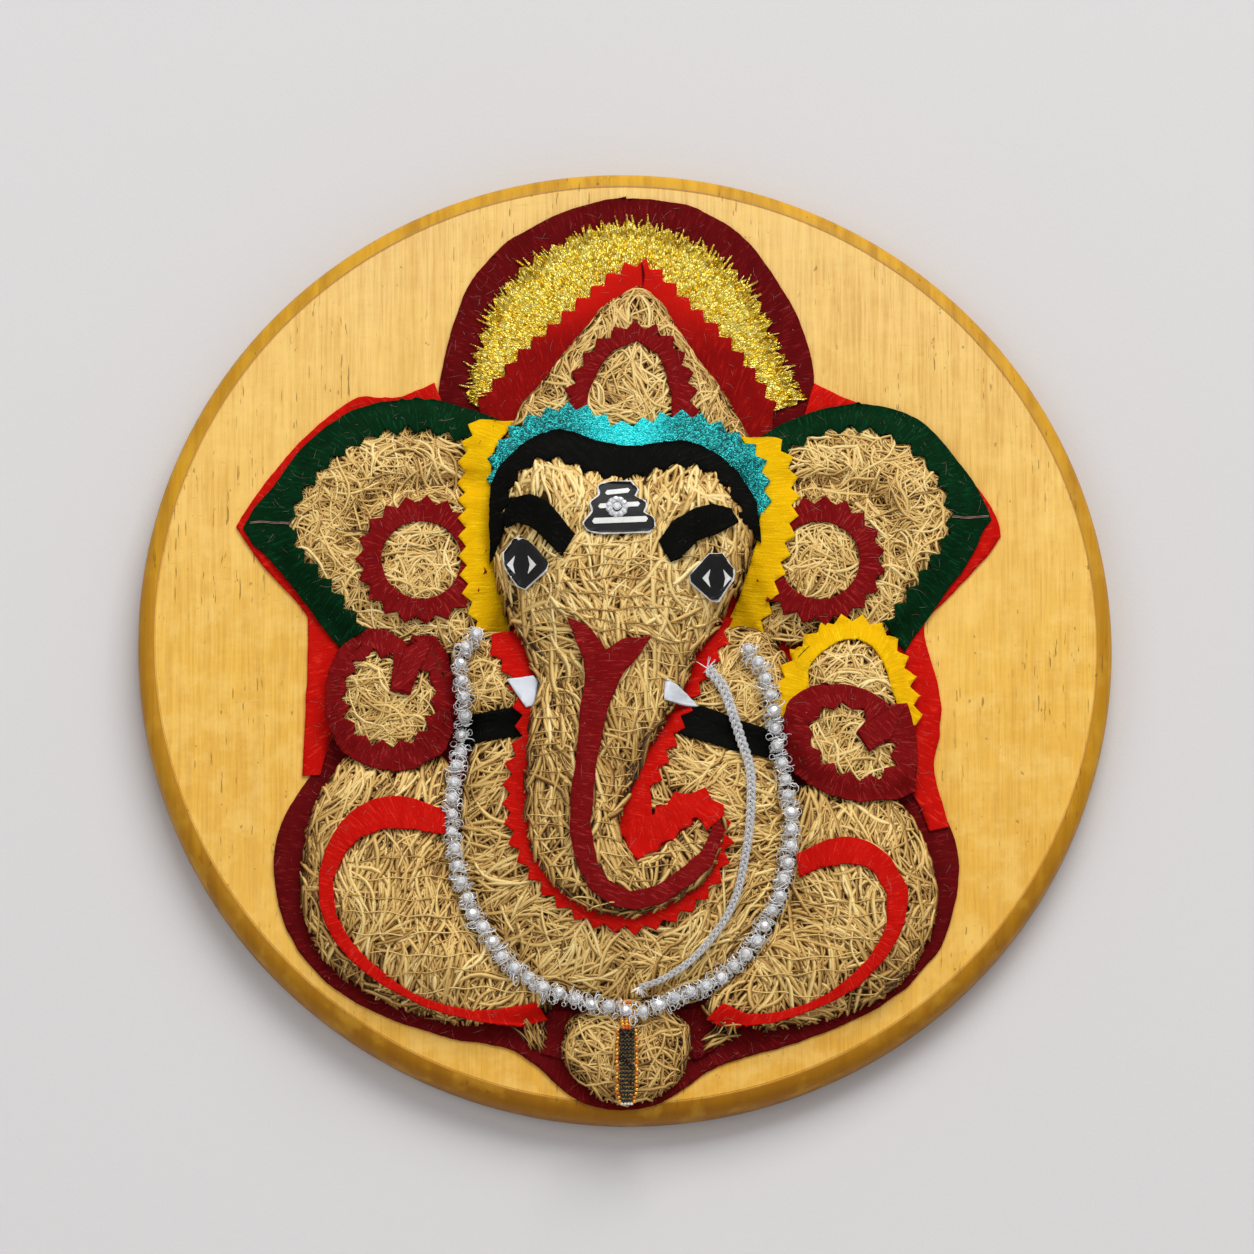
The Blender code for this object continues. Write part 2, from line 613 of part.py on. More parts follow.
def add_hands(parts):
    hand = [(395, 640), (362, 642), (338, 670), (330, 710), (345, 745), (375, 764), (410, 764),
            (440, 746), (450, 705), (438, 655)]
    lay("hand_pad_L", smooth(spots(LEVEL["hand"], *hand), True, PAD_STEP), parts, ROOT,
        crest=HAND_RISE, reach=REACH["hand"])
    hand = [(796, 655), (820, 630), (855, 620), (885, 634), (902, 668), (912, 715), (912, 770),
            (886, 790), (840, 788), (802, 768), (788, 735), (786, 695)]
    lay("hand_pad_R", smooth(spots(LEVEL["hand"], *hand), True, PAD_STEP), parts, ROOT,
        crest=HAND_RISE, reach=REACH["hand"])
    outer = [(408, 647), (421, 634), (436, 634), (447, 648), (455, 680), (455, 715), (444, 751),
             (417, 769), (380, 770), (345, 754), (327, 717), (328, 674), (345, 642), (368, 628),
             (389, 631), (403, 641)]
    inner = [(397, 667), (391, 660), (372, 653), (356, 664), (344, 692), (347, 722), (364, 743),
             (396, 749), (422, 738), (434, 712), (433, 683), (421, 670)]
    lay("hand_loop_L", [smooth(on_top(*outer)),
                        pinked(smooth(on_top(*inner)), 1.0) + on_top((410, 697), (390, 691))],
        parts, MAROON)
    outer = [(775, 712), (777, 692), (783, 668), (796, 643), (815, 626), (836, 616), (857, 613),
             (874, 617), (891, 628), (903, 646), (911, 667), (916, 689), (920, 722)]
    inner = [(906, 724), (896, 700), (892, 688), (886, 666), (873, 645), (856, 638), (838, 641),
             (820, 652), (808, 668), (808, 690), (806, 722)]
    lay("hand_arch_yellow", pinked(smooth(on_top(*outer)), -1.0) + smooth(on_top(*inner)),
        parts, YELLOW)
    outer = [(907, 701), (917, 740), (915, 786), (896, 795), (864, 798), (829, 791), (797, 768),
             (782, 735), (788, 700), (811, 685), (841, 682), (866, 688), (889, 703)]
    inner = [(869, 715), (855, 704), (837, 703), (817, 712), (808, 733), (819, 757), (845, 774),
             (874, 778), (893, 766), (895, 745), (888, 736)]
    lay("hand_loop_R", [smooth(on_top(*outer)),
                        pinked(smooth(on_top(*inner)), 1.0) + on_top((869, 750), (856, 731))],
        parts, MAROON)


HEAD = [(556, 436), (522, 446), (502, 470), (494, 510), (494, 555), (505, 598), (524, 640),
        (538, 684), (532, 711), (527, 774), (526, 813), (534, 850), (553, 880), (584, 905),
        (622, 914), (653, 909), (681, 894), (704, 877), (718, 855), (724, 830), (722, 800),
        (705, 808), (690, 822), (664, 842), (640, 856), (620, 832), (623, 805), (635, 779),
        (650, 745),
        (667, 716), (686, 677), (698, 645), (719, 616), (738, 581), (751, 540), (751, 498),
        (738, 472), (715, 454), (682, 444), (634, 450), (595, 444)]


def add_head(parts):
    around = smooth(on_top((488, 646), (503, 668), (516, 700), (519, 737), (509, 765),
                          (506, 805), (511, 842), (524, 867), (544, 892), (572, 914),
                          (604, 927), (638, 930), (666, 922), (689, 909), (709, 892),
                          (723, 869), (730, 842), (725, 812)))
    tip = smooth(on_top((717, 808), (704, 799), (686, 801), (668, 811), (652, 822)))
    right = smooth(on_top((654, 788), (662, 768), (674, 742), (685, 715), (696, 694),
                         (710, 670), (724, 644), (728, 632)))
    hidden = on_top((734, 612), (700, 610), (676, 650), (660, 700), (560, 700), (540, 660),
                   (516, 630), (492, 636))
    lay("trunk_border", pinked(around, 1.0) + tip + pinked(right, 1.0) + hidden, parts, RED)
    lay("head_trunk_pad", smooth(spots(LEVEL["head"], *HEAD), True, FINE_STEP), parts, ROOT,
        crest=HEAD_RISE, reach=REACH["head"])
    tusk = [(507, 678), (533, 675), (538, 680), (536, 703), (526, 706), (516, 691)]
    lay("tusk_L", on_top(*tusk), parts, WHITE, thick=TUSK_THICKNESS, rough=0.3)
    tusk = [(699, 702), (664, 699), (665, 681), (676, 684)]
    lay("tusk_R", on_top(*tusk), parts, WHITE, thick=TUSK_THICKNESS, rough=0.3)
    hair = smooth(on_top((490, 563), (489, 500), (499, 465), (520, 443), (556, 427),
                        (595, 438), (634, 444), (682, 438), (719, 450), (741, 472), (757, 500),
                        (762, 540)))
    hairline = smooth(on_top((742, 515), (730, 491), (716, 476), (702, 467),
                            (682, 464), (648, 473), (612, 479), (585, 470), (553, 458), (530, 463),
                            (513, 484), (502, 525)))
    lay("hair_band_black", hair + pinked(hairline, 1.0), parts, BLACK)


def add_face(parts):
    stripe = [(566, 619), (584, 625), (596, 636), (606, 650), (625, 638), (652, 638), (635, 660),
              (623, 674), (613, 696), (606, 716), (599, 750), (594, 786), (591, 822), (596, 859),
              (608, 880), (630, 891), (654, 886), (681, 868), (700, 851), (718, 816), (723, 832),
              (711, 866), (691, 883), (664, 902), (635, 909), (611, 905), (591, 890), (577, 866),
              (570, 834), (570, 798), (576, 762), (579, 716), (584, 682), (583, 660), (573, 636)]
    lay("trunk_stripe", on_top(*stripe), parts, MAROON)
    mouth = [(646, 814), (655, 812), (656, 802), (668, 801), (675, 789), (690, 790), (706, 784),
             (712, 797), (723, 803), (724, 813), (707, 830), (699, 817), (693, 815), (691, 823),
             (679, 828), (676, 837), (662, 840), (658, 849), (648, 851), (637, 859), (630, 848),
             (625, 837), (618, 828), (631, 818)]
    lay("mouth_red", on_top(*mouth), parts, RED)
    brow = [(502, 516), (513, 500), (530, 494), (546, 500), (561, 518), (574, 535), (562, 557),
            (547, 542), (530, 528), (516, 524), (505, 532)]
    lay("brow_L", on_top(*brow), parts, BLACK)
    brow = [(658, 541), (671, 523), (692, 508), (714, 502), (731, 508), (739, 523), (719, 533),
            (699, 540), (687, 552), (671, 562)]
    lay("brow_R", on_top(*brow), parts, BLACK)
    eye = [(514, 539), (528, 540), (549, 562), (547, 570), (525, 591), (516, 588), (504, 571), (502, 556)]
    lay("eye_L", on_top(*eye), parts, BLACK, thick=STICKER, rough=0.3)
    eye = [(709, 552), (723, 552), (735, 570), (734, 579), (719, 602), (711, 602), (690, 582), (689, 574)]
    lay("eye_R", on_top(*eye), parts, BLACK, thick=STICKER, rough=0.3)
    mark = [(603, 482), (631, 482), (639, 489), (636, 495), (646, 499), (648, 505), (645, 511),
            (654, 516), (656, 524), (650, 532), (600, 534), (587, 531), (582, 523), (591, 511),
            (589, 502), (598, 494), (597, 487)]
    lay("forehead_mark", on_top(*mark), parts, BLACK, thick=STICKER, rough=0.3)
    lay("forehead_stone", circle(on_top((617, 507))[0], STONE_RADIUS, 12), parts, SILVER,
        thick=STONE_THICKNESS, rough=0.15, metal=0.6)


GARLAND = [(476, 637), (460, 664), (464, 698), (462, 738), (455, 784), (453, 811), (454, 845),
           (459, 876), (470, 909), (491, 943), (516, 971), (546, 992), (583, 1004), (620, 1009),
           (643, 1010), (677, 998), (710, 983), (741, 958), (762, 928), (778, 897), (785, 869),
           (790, 839), (790, 808), (782, 771), (775, 735), (771, 695), (759, 667), (744, 644)]
BRAID = [(707, 669), (722, 686), (732, 713), (741, 741), (750, 771), (750, 814), (745, 854),
         (735, 897), (716, 931), (689, 961), (661, 979), (638, 987)]


def even(path, pitch):
    total = lengths(path)
    count = max(2, round(total[-1] / pitch))
    return [walk(path, total[-1] * k / count, total)[0] for k in range(count + 1)]


def add_beads(parts):
    braid = even(smooth(on_top(*BRAID)), BRAID_PITCH)
    tube("braid", braid, [BRAID_RADIUS] * len(braid), parts, SILVER, sides=5, metal=0.8)
    path = even(smooth(on_top(*GARLAND)), GARLAND_PITCH)
    radii = [GARLAND_RADIUS * (1.0 if k % 2 else 0.66) for k in range(len(path))]
    tube("garland", path, radii, parts, SILVER, sides=6, metal=0.8)
    drop = even(on_top((626, 1030), (626, 1102)), PENDANT_BEAD / 2)
    radii = [PENDANT_BEAD / 2 * (1.0 if k % 2 else 0.72) for k in range(len(drop))]
    tube("pendant", drop, radii, parts, BLACK, sides=8, ease=1)


def build():
    reset()
    scene = bpy.context.scene.collection
    parts = bpy.data.collections.new("ganesha_wall_hanging")
    cutters = bpy.data.collections.new("cutters")
    scene.children.link(parts)
    scene.children.link(cutters)
    add_board(parts, cutters)
    add_backing(parts)
    add_crown(parts)
    add_ears(parts)
    add_head_trims(parts)
    add_body(parts)
    add_legs(parts)
    add_hands(parts)
    add_head(parts)
    add_face(parts)
    add_beads(parts)
    holder = bpy.data.objects.new("wall_hanging", None)
    parts.objects.link(holder)
    for item in list(parts.objects):
        if item is not holder:
            item.parent = holder


build()
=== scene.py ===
"""Looks of a round wooden wall hanging: a Ganesha figure of root-fibre mats and cut velvet paper.

Each layer is laid on the layers behind it, as the maker glued it: the mats become soft cores with
loose fibres over them, and the cut sheets are draped over what they cover.
"""
import math

import bmesh
import bpy
import numpy as np
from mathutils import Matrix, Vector, noise
from mathutils.bvhtree import BVHTree
from mathutils.geometry import tessellate_polygon


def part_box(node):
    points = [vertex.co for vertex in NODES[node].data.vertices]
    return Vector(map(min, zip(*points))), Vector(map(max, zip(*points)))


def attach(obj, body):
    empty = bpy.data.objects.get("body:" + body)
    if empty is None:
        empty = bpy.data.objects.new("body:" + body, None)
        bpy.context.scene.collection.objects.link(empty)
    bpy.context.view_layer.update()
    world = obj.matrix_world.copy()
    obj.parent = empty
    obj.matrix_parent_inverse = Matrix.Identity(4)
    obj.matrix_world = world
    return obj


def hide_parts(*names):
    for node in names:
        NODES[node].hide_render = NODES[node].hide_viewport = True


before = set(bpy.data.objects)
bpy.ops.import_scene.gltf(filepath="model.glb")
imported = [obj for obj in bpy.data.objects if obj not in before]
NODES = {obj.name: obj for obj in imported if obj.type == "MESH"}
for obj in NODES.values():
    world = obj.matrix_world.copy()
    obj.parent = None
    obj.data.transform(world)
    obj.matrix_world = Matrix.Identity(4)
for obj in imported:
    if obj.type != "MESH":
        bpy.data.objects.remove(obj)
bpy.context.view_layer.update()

# Sizes in metres, worked out from the board and the figure of the frame
BOARD_LOW, BOARD_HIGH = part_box("board")
BOARD_RADIUS = (BOARD_HIGH.x - BOARD_LOW.x) / 2
BOARD_THICKNESS = BOARD_HIGH.y - BOARD_LOW.y
BOARD_ROUNDING = 0.4 * BOARD_THICKNESS
FIGURE_HEIGHT = 0.96 * 2 * BOARD_RADIUS
CELL = BOARD_RADIUS / 214
SHEET = 0.0008
FIBRE_WIDTH = 0.00112
FIBRE_DENSITY = 0.40e6
FIBRE_BED = 0.0008
FIBRE_SHORTEST, FIBRE_LONGEST = 0.005, 0.021
FIBRE_BEND, FIBRE_CURL = 75.0, 4000.0
RIM_SHORTENING = 0.75
ROOF_GAP = 0.0009
THREAD_WIDTH = 0.00055
SEAM_WIDTH = 0.00026
MERGE = 0.00002
PAD_SOFTNESS = 0.0034
PAD_ROLL = 0.0060
CORE_STEP = 0.0016
CORE_SINK = 0.0007
RIM_REACH = 0.0032
# Painted shade on the roots: how much darker they are near a mat's edge, along its sewn creases and
# down the lower trunk
EDGE_SHADE = 0.20
EDGE_SHADE_REACH = 0.007
CREASE_SHADE = 0.42
TRUNK_SHADE = 0.24
WRAP_SQUEEZE = 0.12
STONE_SIZE = 0.00145
PENDANT_RISE = 0.0058
HOOK_HOLE_RADIUS = 0.004
HOOK_HOLE_DEPTH = 0.007
BACK_BEVEL = 0.0008
# The turned step round the board's face: how wide each part is, and how far it goes in
FACE_STEPS = ((0.0003, 0.00030), (0.0002, -0.00028))
HOOK_HOLE_HEIGHT = 0.766 * BOARD_RADIUS

# How the photograph shows it: picture points are turned into places with these
PICTURE = 1254
FIGURE_SPAN = 936.0
CENTRE_X, CENTRE_Y = 626.0, 642.0
LOOK_UP = math.radians(13.7)
LOOK_LEFT = math.radians(2.0)
LOOK_DISTANCE = 5.0

PADS = ("crown_pad", "ear_pad_L", "ear_pad_R", "belly_pad", "upper_arm_pad_L", "upper_arm_pad_R",
        "leg_pad_L", "leg_pad_R", "foot_pad", "hand_pad_L", "hand_pad_R", "head_trunk_pad")
LAYERS = ("backing_maroon", "crown_maroon", "backing_red", "crown_gold", "crown_red", "crown_pad",
          "crown_arch", "ear_pad_L", "ear_green_L", "ear_ring_L", "ear_pad_R", "ear_green_R",
          "ear_ring_R", "temple_strip_L", "temple_strip_R", "headband_turquoise", "belly_pad",
          "upper_arm_pad_L", "upper_arm_pad_R", "waist_band_L", "waist_band_R", "ankle_maroon_L",
          "ankle_maroon_R", "leg_pad_L", "leg_pad_R", "foot_pad", "leg_band_L", "leg_band_R",
          "hand_pad_L", "hand_pad_R", "hand_loop_L", "hand_arch_yellow", "hand_loop_R",
          "trunk_border", "head_trunk_pad", "tusk_L", "tusk_R", "hair_band_black",
          "trunk_stripe", "mouth_red", "brow_L", "brow_R", "eye_L", "eye_R", "forehead_mark")

# The noise that bends the cut edges starts from the clock unless it is given a seed
NOISE_SEED = 1796029454
noise.seed_set(NOISE_SEED)
rng = np.random.default_rng(7)


def at(px, py, rise=0.0):
    """A picture point, as (x, z) on what stands `rise` above the board's face."""
    scale = FIGURE_HEIGHT / FIGURE_SPAN * (1.0 - rise / LOOK_DISTANCE)
    x = (px - CENTRE_X) * scale - rise * math.sin(LOOK_LEFT)
    z = ((CENTRE_Y - py) * scale - rise * math.sin(LOOK_UP)) / math.cos(LOOK_UP)
    return Vector((x, z))


def smooth_path(points, step):
    """A soft curve through the points, sampled about every `step`."""
    out, last = [], len(points) - 1
    for i in range(last):
        a, b = points[max(i - 1, 0)], points[i]
        c, d = points[i + 1], points[min(i + 2, last)]
        count = max(1, round((c - b).length / step))
        for k in range(count):
            t = k / count
            out.append(0.5 * (2 * b + (c - a) * t + (2 * a - 5 * b + 4 * c - d) * t * t
                              + (3 * b - a - 3 * c + d) * t ** 3))
    return out + [points[-1].copy()]


def even_path(points, pitch):
    """Points along a path at an even pitch."""
    reached, out = 0.0, [points[0]]
    for a, b in zip(points, points[1:]):
        span = (b - a).length
        while reached + span >= pitch * len(out):
            out.append(a.lerp(b, (pitch * len(out) - reached) / span))
        reached += span
    return out


# Materials


class Value:
    """A shader socket in an expression: + - * / and ** add the Math nodes."""

    def __init__(self, finish, socket):
        self.finish, self.socket = finish, socket

    def step(self, operation, *others):
        return self.finish.node("ShaderNodeMath", {"operation": operation}, [self, *others])

    def __add__(self, other):
        return self.step("ADD", other)

    def __sub__(self, other):
        return self.step("SUBTRACT", other)

    def __mul__(self, other):
        return self.step("MULTIPLY", other)

    def __truediv__(self, other):
        return self.step("DIVIDE", other)

    def __pow__(self, other):
        return self.step("POWER", other)

    def __rsub__(self, other):
        return self.finish.node("ShaderNodeMath", {"operation": "SUBTRACT"}, [other, self])

    __radd__, __rmul__ = __add__, __mul__

    def above(self, edge, softness=0.05):
        """0 below the edge and 1 above it, with a soft step."""
        return self.finish.node("ShaderNodeMapRange", {"interpolation_type": "SMOOTHSTEP"},
                                {"Value": self, "From Min": edge - softness,
                                 "From Max": edge + softness})


class Finish:
    """A node material, built from expressions."""

    def __init__(self, name, **constants):
        self.material = bpy.data.materials.new(name)
        self.material.use_nodes = True
        self.tree = self.material.node_tree
        self.shader = self.tree.nodes["Principled BSDF"]
        for socket, value in constants.items():
            self.shader.inputs[socket.replace("_", " ")].default_value = value

    def node(self, kind, settings=None, sockets=(), out=0):
        """Adds a node with its settings, and the values or links of its sockets."""
        made = self.tree.nodes.new(kind)
        for key, value in (settings or {}).items():
            setattr(made, key, value)
        pairs = sockets.items() if isinstance(sockets, dict) else enumerate(sockets)
        for key, value in pairs:
            if isinstance(value, Value):
                self.tree.links.new(value.socket, made.inputs[key])
            else:
                made.inputs[key].default_value = value
        return Value(self, made.outputs[out])

    def place(self, scale=(1, 1, 1), turn=(0, 0, 0)):
        spot = self.node("ShaderNodeTexCoord", out="Object")
        return self.node("ShaderNodeMapping", None,
                         {"Vector": spot, "Scale": scale, "Rotation": turn})

    def noise(self, scale, detail=2.0, place=None, rough=0.5, twist=0.0):
        return self.node("ShaderNodeTexNoise", None,
                         {"Vector": place or self.place(), "Scale": scale, "Detail": detail,
                          "Roughness": rough, "Distortion": twist})

    def cells(self, scale, out="Distance", place=None, feature="F1"):
        return self.node("ShaderNodeTexVoronoi", {"feature": feature},
                         {"Vector": place or self.place(), "Scale": scale}, out)

    def axis(self, name):
        spot = self.node("ShaderNodeTexCoord", out="Object")
        return self.node("ShaderNodeSeparateXYZ", None, [spot], name)

    def channel(self, colour, name):
        return self.node("ShaderNodeSeparateColor", None, [colour], name)

    def attribute(self, name, out="Fac"):
        return self.node("ShaderNodeAttribute", {"attribute_name": name}, (), out)

    def mix(self, share, one, two, blend="MIX"):
        """Mixes two colours, or values given as colours."""
        one, two = ((*c, 1.0) if isinstance(c, tuple) and len(c) == 3 else c for c in (one, two))
        return self.node("ShaderNodeMix", {"data_type": "RGBA", "blend_type": blend},
                         {0: share, 6: one, 7: two}, 2)

    def ramp(self, value, *stops):
        made = self.tree.nodes.new("ShaderNodeValToRGB")
        while len(made.color_ramp.elements) < len(stops):
            made.color_ramp.elements.new(0.5)
        for element, (spot, colour) in zip(made.color_ramp.elements, stops):
            element.position, element.color = spot, (*colour, 1.0)
        self.tree.links.new(value.socket, made.inputs[0])
        return Value(self, made.outputs[0])

    def wear(self, colour=None, roughness=None, height=None, depth=0.0002, strength=1.0,
             normal=None, metallic=None):
        """Joins the varying parts of the finish to the shader."""
        for socket, value in (("Base Color", colour), ("Roughness", roughness),
                              ("Metallic", metallic)):
            if value is not None:
                self.tree.links.new(value.socket, self.shader.inputs[socket])
        if height is not None:
            sockets = {"Height": height, "Distance": depth, "Strength": strength}
            if normal is not None:
                sockets["Normal"] = normal
            normal = self.node("ShaderNodeBump", None, sockets)
        if normal is not None:
            self.tree.links.new(normal.socket, self.shader.inputs["Normal"])
        return self.material


def varnished_wood():
    """Pale wood with fine upright grain under a golden varnish, darker on the turned rim; painted
    light and shade make it lighter towards the top and darker towards the bottom.
    """
    f = Finish("varnished_wood", Coat_Roughness=0.25, Specular_IOR_Level=0.14)
    x, z = f.axis("X"), f.axis("Z")
    radius = (x * x + z * z).step("SQRT")
    rim = radius.above(BOARD_RADIUS - 0.0046, 0.0003)
    streak = f.noise(1.0, 4.0, f.place((260, 60, 9)), 0.6)
    fine = f.noise(1.0, 3.0, f.place((1500, 200, 45)), 0.7)
    weft = f.noise(1.0, 3.0, f.place((110, 200, 1000)), 0.7)
    cloud = f.noise(16.0, 3.0)
    mottle = f.noise(90.0, 4.0, None, 0.65)
    pores = f.noise(1.0, 2.0, f.place((1300, 300, 130)), 0.5).above(0.70, 0.02)
    cross = f.noise(1.0, 2.0, f.place((260, 300, 1500)), 0.5).above(0.72, 0.02)
    specks = f.noise(1.0, 2.0, f.place((520, 300, 300)), 0.5).above(0.75, 0.02)
    worn = f.noise(45.0, 2.0).above(0.50, 0.12)
    dark = pores * worn * 0.8 + cross * worn * 0.2 + specks * 0.6
    # Painted light and shade: the face and rim colours run from darker at the bottom to lighter at
    # the top
    height = z / BOARD_RADIUS * 0.5 + 0.5
    face = f.ramp(height, (0.0, (0.80, 0.42, 0.045)), (0.5, (0.89, 0.53, 0.085)),
                  (0.95, (0.93, 0.65, 0.255)))
    face = f.mix(streak.above(0.5, 0.3) * 0.42, face, (0.66, 0.33, 0.040))
    face = f.mix(fine.above(0.54, 0.16) * 0.50, face, (0.56, 0.27, 0.035))
    face = f.mix(weft.above(0.60, 0.14) * 0.09, face, (0.58, 0.29, 0.04))
    face = f.mix(mottle.above(0.55, 0.15) * 0.38, face, (1.0, 0.70, 0.22))
    face = f.mix(cloud.above(0.55, 0.2) * 0.25, face, (0.96, 0.62, 0.14))
    edge = f.ramp(height, (0.0, (0.34, 0.135, 0.002)), (0.45, (0.60, 0.29, 0.010)),
                  (1.0, (0.70, 0.37, 0.022)))
    edge = f.mix(streak.above(0.50, 0.22) * 0.55, edge, (0.27, 0.10, 0.004))
    edge = f.mix(f.noise(120.0, 4.0).above(0.60, 0.1) * 0.35, edge, (0.66, 0.37, 0.035))
    line = (radius - (BOARD_RADIUS - 0.0047)).step("ABSOLUTE") * -1.0
    colour = f.mix(rim, face, edge)
    colour = f.mix(dark * 0.8, colour, (0.17, 0.07, 0.012))
    colour = f.mix(line.above(-0.00022, 0.00012) * 0.6, colour, (0.24, 0.11, 0.012))
    rough = 0.36 + fine * 0.12 + cloud * 0.08
    f.tree.links.new((0.16 - rim * 0.16).socket, f.shader.inputs["Coat Weight"])
    return f.wear(colour, rough, streak * 0.4 + fine * 0.6 + weft * 0.08 - dark, 0.00012)


def root_fibre():
    """Dry straw-coloured roots; each fibre has its own tone, which also carries painted shade and
    painted highlights.
    """
    f = Finish("root_fibre", Specular_IOR_Level=0.40)
    tone = f.attribute("tone")
    fine = f.noise(900.0, 2.0)
    patch = f.noise(55.0, 2.0)
    share = tone * 0.78 + patch * 0.16 + fine * 0.14
    colour = f.ramp(share, (0.08, (0.036, 0.013, 0.002)), (0.28, (0.23, 0.105, 0.016)),
                    (0.50, (0.56, 0.330, 0.085)), (0.74, (0.84, 0.590, 0.205)),
                    (0.95, (0.96, 0.780, 0.365)))
    return f.wear(colour, 0.42 + fine * 0.3, fine + f.noise(2400.0) * 0.5, 0.00006)


def fibre_core_painted_shade():
    """The tangle that shows between the fibres of a mat: root brown, painted darker as the shade
    deep in its gaps.
    """
    f = Finish("fibre_core_painted_shade", Roughness=0.9, Specular_IOR_Level=0.2)
    tangle = f.noise(700.0, 4.0, None, 0.7, 1.2)
    lump = f.noise(160.0, 2.0)
    colour = f.ramp(tangle * 0.8 + lump * 0.2, (0.34, (0.018, 0.008, 0.002)),
                    (0.52, (0.070, 0.032, 0.007)), (0.68, (0.26, 0.14, 0.036)))
    return f.wear(colour, None, tangle + lump, 0.0006)


def velvet(name, base, dark, light, lint=0.5, painted_crease_shading=0.4, crown=None):
    """Flocked paper: a short matt pile, rubbed and creased across the strip it is cut in; its
    creases carry painted shade and painted highlights, and a crown colour, where given, is painted
    light towards the top.
    """
    f = Finish(name, Sheen_Weight=0.05, Sheen_Roughness=0.4, Specular_IOR_Level=0.05)
    f.shader.inputs["Sheen Tint"].default_value = (*light, 1.0)
    pile = f.noise(2600.0, 2.0)
    brush = f.noise(1.0, 3.0, f.place((300, 300, 90), (0.0, 0.5, 0.0)), 0.6)
    blotch = f.noise(70.0, 3.0, None, 0.6)
    ribs = f.noise(1500.0, 2.0, f.attribute("wrap", "Vector"), 0.7)
    folds = f.noise(520.0, 3.0, f.attribute("wrap", "Vector"), 0.6)
    specks = f.noise(1500.0, 1.0).above(0.80, 0.02)
    colour = f.mix(blotch.above(0.5, 0.25), dark, base)
    colour = f.mix(brush.above(0.54, 0.2) * 0.45, colour, light)
    colour = f.mix(pile.above(0.5, 0.3) * 0.5, dark, colour)
    # Painted shade along the folds and ribs, and a painted highlight beside the ribs
    colour = f.mix(folds.above(0.58, 0.05) * painted_crease_shading, colour, dark)
    colour = f.mix(ribs.above(0.58, 0.06) * painted_crease_shading, colour, dark)
    colour = f.mix((ribs * -1.0).above(-0.40, 0.04) * painted_crease_shading, colour, light)
    # Painted light: where a crown colour is given, the sheet turns to it towards the top of the
    # crown
    if crown:
        colour = f.mix(f.axis("Z").above(at(0, 325).y, 0.010) * 0.8, colour, crown)
    colour = f.mix(specks * lint, colour, (0.50, 0.36, 0.30))
    return f.wear(colour, 0.75 + pile * 0.25, pile * 0.5 + brush * 0.4 + ribs * 0.8 + folds * 1.2,
                  0.0003)


def crumpled_gold():
    """Gold foil, crumpled along rays from the middle of the crown."""
    f = Finish("glitter_gold", Metallic=0.85)
    x, z = f.axis("X"), f.axis("Z") - at(630, 400).y
    ray = x.step("ARCTAN2", z) * 0.055
    out = (x * x + z * z).step("SQRT")
    wrap = f.node("ShaderNodeCombineXYZ", None, [ray, f.axis("Y"), out * 0.75])
    flake = f.cells(1250.0, "Color", wrap)
    shade = f.channel(flake, "Red")
    glint = f.channel(flake, "Green")
    blotch = f.noise(150.0, 3.0, wrap, 0.7)
    colour = f.ramp(shade * 0.75 + blotch * 0.35 + 0.14, (0.16, (0.20, 0.085, 0.001)),
                    (0.38, (0.74, 0.43, 0.012)), (0.64, (1.0, 0.74, 0.055)),
                    (0.90, (1.0, 0.88, 0.24)))
    dome = f.cells(1250.0, "Distance", wrap) * -1.0 + shade * 1.6 + f.noise(2000.0) * 0.5
    return f.wear(colour, 0.16 + glint * 0.34, dome, 0.0007)


def glitter_turquoise():
    """Glitter foil with a painted highlight of cyan at the middle of the forehead and painted shade
    of darker teal at the temples.
    """
    f = Finish("glitter_turquoise", Metallic=0.55)
    flake = f.cells(2100.0, "Color")
    shade = f.channel(flake, "Red")
    blotch = f.noise(260.0, 3.0, None, 0.7)
    # Painted light: lighter cyan in the middle as a highlight, darker teal towards the temples as
    # shade
    middle = f.axis("X").step("ABSOLUTE") * -1.0
    painted_light_middle = middle.above(-0.010, 0.009)
    teal = f.ramp(shade * 0.7 + blotch * 0.4, (0.20, (0.002, 0.075, 0.080)),
                  (0.55, (0.004, 0.29, 0.29)), (0.88, (0.05, 0.82, 0.80)))
    cyan = f.ramp(shade * 0.6 + blotch * 0.5, (0.18, (0.001, 0.50, 0.52)),
                  (0.50, (0.001, 0.92, 0.95)), (0.85, (0.10, 1.0, 1.0)))
    dome = f.cells(2100.0) * -1.0 + shade * 1.2
    return f.wear(f.mix(painted_light_middle, teal, cyan), 0.25 + shade * 0.3, dome, 0.0003)


def plain_gloss(name, base, other, scale, rough, spread=0.1, depth=0.00005, **constants):
    """A smooth finish with faint clouding."""
    f = Finish(name, **constants)
    cloud = f.noise(scale, 3.0, None, 0.6)
    return f.wear(f.mix(cloud.above(0.5, 0.25), base, other), rough + cloud * spread,
                  f.noise(scale * 3, 2.0), depth)


def studio_wall():
    """The pale wall; it is open from behind, so that the back of the board can be seen."""
    f = Finish("studio_wall", Roughness=0.95)
    grain = f.noise(900.0, 3.0)
    cloud = f.noise(3.0, 2.0)
    f.wear(f.mix(cloud, (0.655, 0.645, 0.650), (0.685, 0.675, 0.680)), None, grain, 0.00005)
    behind = f.node("ShaderNodeNewGeometry", None, (), "Backfacing")
    clear = f.tree.nodes.new("ShaderNodeBsdfTransparent")
    blend = f.tree.nodes.new("ShaderNodeMixShader")
    f.tree.links.new(behind.socket, blend.inputs[0])
    f.tree.links.new(f.shader.outputs[0], blend.inputs[1])
    f.tree.links.new(clear.outputs[0], blend.inputs[2])
    f.tree.links.new(blend.outputs[0], f.tree.nodes["Material Output"].inputs["Surface"])
    return f.material


